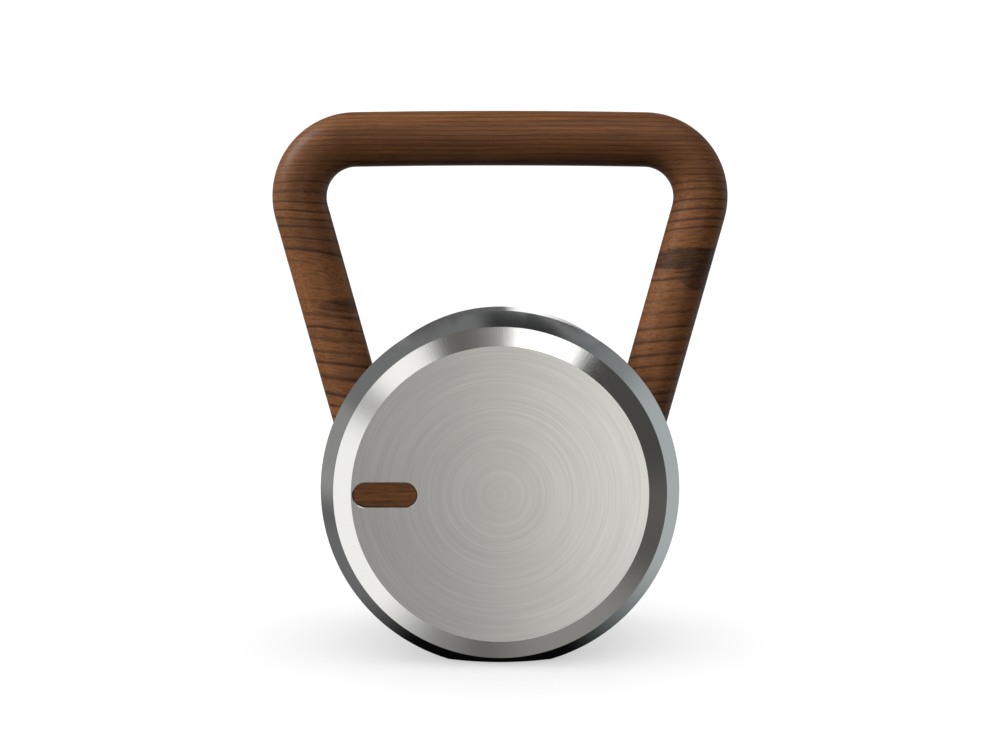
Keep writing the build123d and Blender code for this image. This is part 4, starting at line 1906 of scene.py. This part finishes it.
CARDS = (
    # Seen in the face
    StudioCard(clock=90, reach=80, near=3, far=28, brightness=1.54, tint=WARM, soft=4),
    StudioCard(clock=270, reach=80, near=0, far=28, brightness=0.34, tint=WARM, soft=4),
    # Seen in the plate's bevel
    StudioCard(clock=20.5, reach=14.6, **BEVEL, brightness=2.6, soft=5),
    StudioCard(clock=358, reach=6, **BEVEL, brightness=0.35, tint=WARM, soft=4),
    StudioCard(clock=344, reach=8, **BEVEL, brightness=0.16, tint=WARM, soft=4),
    StudioCard(clock=160, reach=25, **BEVEL, brightness=0.4, tint=WARM, soft=22),
    StudioCard(clock=200, reach=9, **BEVEL, brightness=0.3, soft=8),
    StudioCard(clock=251, reach=41, **BEVEL, brightness=1.4, soft=12),
    StudioCard(clock=315, reach=15, **BEVEL, brightness=1.45, soft=7),
    StudioCard(clock=95, reach=50, **BEVEL, brightness=0.085, tint=WARM, soft=10),
    StudioCard(clock=106, reach=12, **BEVEL, brightness=0.06, tint=WARM, soft=9),
    # Seen in the drum's bevel
    StudioCard(clock=95, reach=45, **SHOULDER, brightness=0.64, tint=COOL, soft=22),
    StudioCard(clock=36, reach=11, **SHOULDER, brightness=0.17, tint=COOL, soft=8),
    StudioCard(clock=8, reach=12, **SHOULDER, brightness=0.045, soft=6),
    StudioCard(clock=276, reach=18, **SHOULDER, brightness=0.38, tint=WARM, soft=7),
    StudioCard(clock=325, reach=29, **SHOULDER, brightness=0.24, soft=5),
    StudioCard(clock=237, reach=21, **SHOULDER, brightness=0.2, soft=13),
    # Behind the object
    StudioCard(clock=27, reach=18, near=150, far=178, brightness=1.9, soft=5),
    StudioCard(clock=330, reach=30, near=150, far=184, brightness=0.13, soft=8),
    StudioCard(clock=180, reach=90, near=150, far=181, brightness=0.55, tint=WARM, soft=10),
    # Seen in the drum's round from the side
    StudioCard(clock=0, reach=70, **ROUND, brightness=0.3, soft=8),
    StudioCard(clock=180, reach=70, **ROUND, brightness=0.12, soft=8),
)

LAMPS = (
    Lamp("floor_sky", (0.0, 0.0, 1.0), 3.0, 130.0, only=("studio_floor",)),
    Lamp("sky", (0.0, 0.0, 1.0), 0.4, 100.0),
    Lamp("key", (-0.966, 0.0, 0.26), 2.0, 60.0),
    Lamp("front_fill", (0.0, -1.0, 0.4), 1.75, 80.0),
    Lamp("rear_fill", (0.3, 1.0, 0.5), 1.2, 90.0),
    Lamp("edge", (-0.75, -0.1, 0.64), 2.5, 36.0, only=("walnut_front", "walnut_rear"), mirrored=True),
)


# --- The whole object ----------------------------------------------------------------------------------


WALNUT_FIGURES_AND_PAINTED_LIGHT = (
    Figure(x=-0.0926, z=0.1915, width=0.045, height=0.0125, shade=-0.5, push=0.002, calm=0.8),
    Figure(x=-0.078, z=0.1785, width=0.020, height=0.0045, shade=0.6, ragged=0.4),
    Figure(x=0.0990, z=0.2022, width=0.030, height=0.0085, shade=0.78, ragged=0.5),
    Figure(x=0.1050, z=0.1930, width=0.014, height=0.0080, shade=0.65, ragged=0.6),
    Figure(x=0.0960, z=0.2135, width=0.040, height=0.0045, shade=-0.7, calm=0.7),
    # This broad lighter patch high on the right leg is partly painted light, standing in for the key light
    # from the left, and partly the wood's own lighter figure.
    Figure(x=0.0950, z=0.2300, width=0.040, height=0.0180, shade=-0.8),
    Figure(x=0.0870, z=0.1800, width=0.030, height=0.0110, shade=-0.5, calm=0.4),
)


def finishes(effects: Effects, axis_z: float, drum_radius: float,
             face_radius: float) -> dict[Slot, bpy.types.Material]:
    """Makes the material for each slot.

    Args:
        effects: the shared groups.
        axis_z: height of the drum's axis, which turned marks run round.
        drum_radius: radius of the drum's round.
        face_radius: radius of a plate's flat face.

    Returns:
        The materials by slot.
    """
    anywhere_inside, anywhere_outside = -1.0, 1.0
    just_under = 0.1 * MM
    made = {
        Slot.DRUM: TurnedSteel(
            "polished_drum_steel", colour=(0.60, 0.61, 0.61), brushed_roughness=0.2, polished_roughness=0.12,
            axis_height=axis_z, zone=(drum_radius - just_under, anywhere_outside), pitch=0.4 * MM),
        Slot.PLATE: TurnedSteel(
            "brushed_plate_steel", colour=(0.62, 0.615, 0.60), brushed_roughness=0.27,
            polished_roughness=0.15, axis_height=axis_z, zone=(anywhere_inside, face_radius),
            pitch=0.9 * MM),
        Slot.CORE: PlainSteel("ground_core_steel", (0.45, 0.45, 0.46), roughness=0.35),
        Slot.BOLT: PlainSteel("zinc_plated_steel", (0.55, 0.56, 0.58), roughness=0.28),
        Slot.BALLAST: PlainSteel("sawn_ballast_steel", (0.22, 0.21, 0.20), roughness=0.55, grit=500.0),
        Slot.HANDLE: Wood(
            "oiled_walnut", light=(0.225, 0.088, 0.030), middle=(0.150, 0.058, 0.021),
            dark=(0.085, 0.034, 0.014), line=(0.022, 0.011, 0.007), spacing=6.6 * MM, roughness=0.36,
            close_above=0.245, close_rate=1.7, sag=0.12, figures=WALNUT_FIGURES_AND_PAINTED_LIGHT),
        Slot.INLAY: Wood(
            "oiled_walnut_slip", light=(0.23, 0.091, 0.030), middle=(0.145, 0.057, 0.019),
            dark=(0.060, 0.024, 0.010), line=(0.03, 0.012, 0.006), spacing=3.0 * MM, roughness=0.45,
            fineness=0.8, shift=0.4 * MM, line_strength=0.2),
        Slot.SPLICE: Wood(
            "beech_dowel", light=(0.42, 0.27, 0.15), middle=(0.36, 0.22, 0.12), dark=(0.28, 0.16, 0.08),
            line=(0.2, 0.1, 0.05), spacing=2.0 * MM, roughness=0.6, fineness=2.0),
        Slot.INNER_RUBBER: Rubber("nitrile_rubber", (0.012, 0.012, 0.012)),
        Slot.FOOT: Rubber("foot_rubber", (0.01, 0.01, 0.01)),
    }
    return {slot: finish.build(effects) for slot, finish in made.items()}


def main() -> None:
    """Builds every piece and the studio round them."""
    logging.basicConfig(level=logging.INFO, format="%(name)s: %(message)s")
    drum_low, drum_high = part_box("weight_drum")
    plate_low, plate_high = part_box("front_face_plate")
    rear_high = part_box("rear_face_plate")[1]
    pad_low, pad_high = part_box("foot_pad")
    inlay_low, inlay_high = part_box("face_inlay")
    bolt_low, bolt_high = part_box("tie_bolt")
    handle_low, handle_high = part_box("handle_front_half")
    radius = (drum_high.x - drum_low.x) / 2
    axis_z = drum_high.z - radius
    plate_radius = (plate_high.x - plate_low.x) / 2
    pad, inlay = pad_high - pad_low, inlay_high - inlay_low
    inlay_x = (inlay_low.x + inlay_high.x) / 2
    inlay_gap = 0.1 * MM
    made = finishes(Effects(), axis_z, radius, plate_radius - FacePlate.bevel_width)

    WeightDrum(radius=radius, axis_z=axis_z, end_y=drum_high.y, flat_z=drum_low.z, end_radius=plate_radius,
               pad_width=pad.x, pad_length=pad.y, pad_top=pad_high.z).build(made[Slot.DRUM])
    FrontPlate(end=End.FRONT, radius=plate_radius, axis_z=axis_z, end_y=drum_high.y, face_y=-plate_low.y,
               inlay_x=inlay_x, slot_length=inlay.x + 2 * inlay_gap,
               slot_width=inlay.z + 2 * inlay_gap).build(made[Slot.PLATE])
    RearPlate(end=End.REAR, radius=plate_radius, axis_z=axis_z, end_y=drum_high.y,
              face_y=rear_high.y).build(made[Slot.PLATE])
    FaceInlay(middle_x=inlay_x, axis_z=axis_z, length=inlay.x, width=inlay.z, face_y=inlay_low.y,
              back_y=inlay_high.y).build(made[Slot.INLAY])
    TieBolt(axis_z=axis_z, top_y=bolt_high.y, end_y=bolt_low.y,
            head_radius=(bolt_high.x - bolt_low.x) / 2).build(made[Slot.BOLT])
    FootPad(width=pad.x, length=pad.y, top_z=pad_high.z).build(made[Slot.FOOT])
    LoopHandle(top_z=handle_high.z, grip_radius=-handle_low.y, axis_z=axis_z,
               drum_radius=radius).build(made[Slot.HANDLE])
    InnerPieces(made).dress()
    Studio(CARDS, LAMPS).build()


if __name__ == "__main__":
    main()
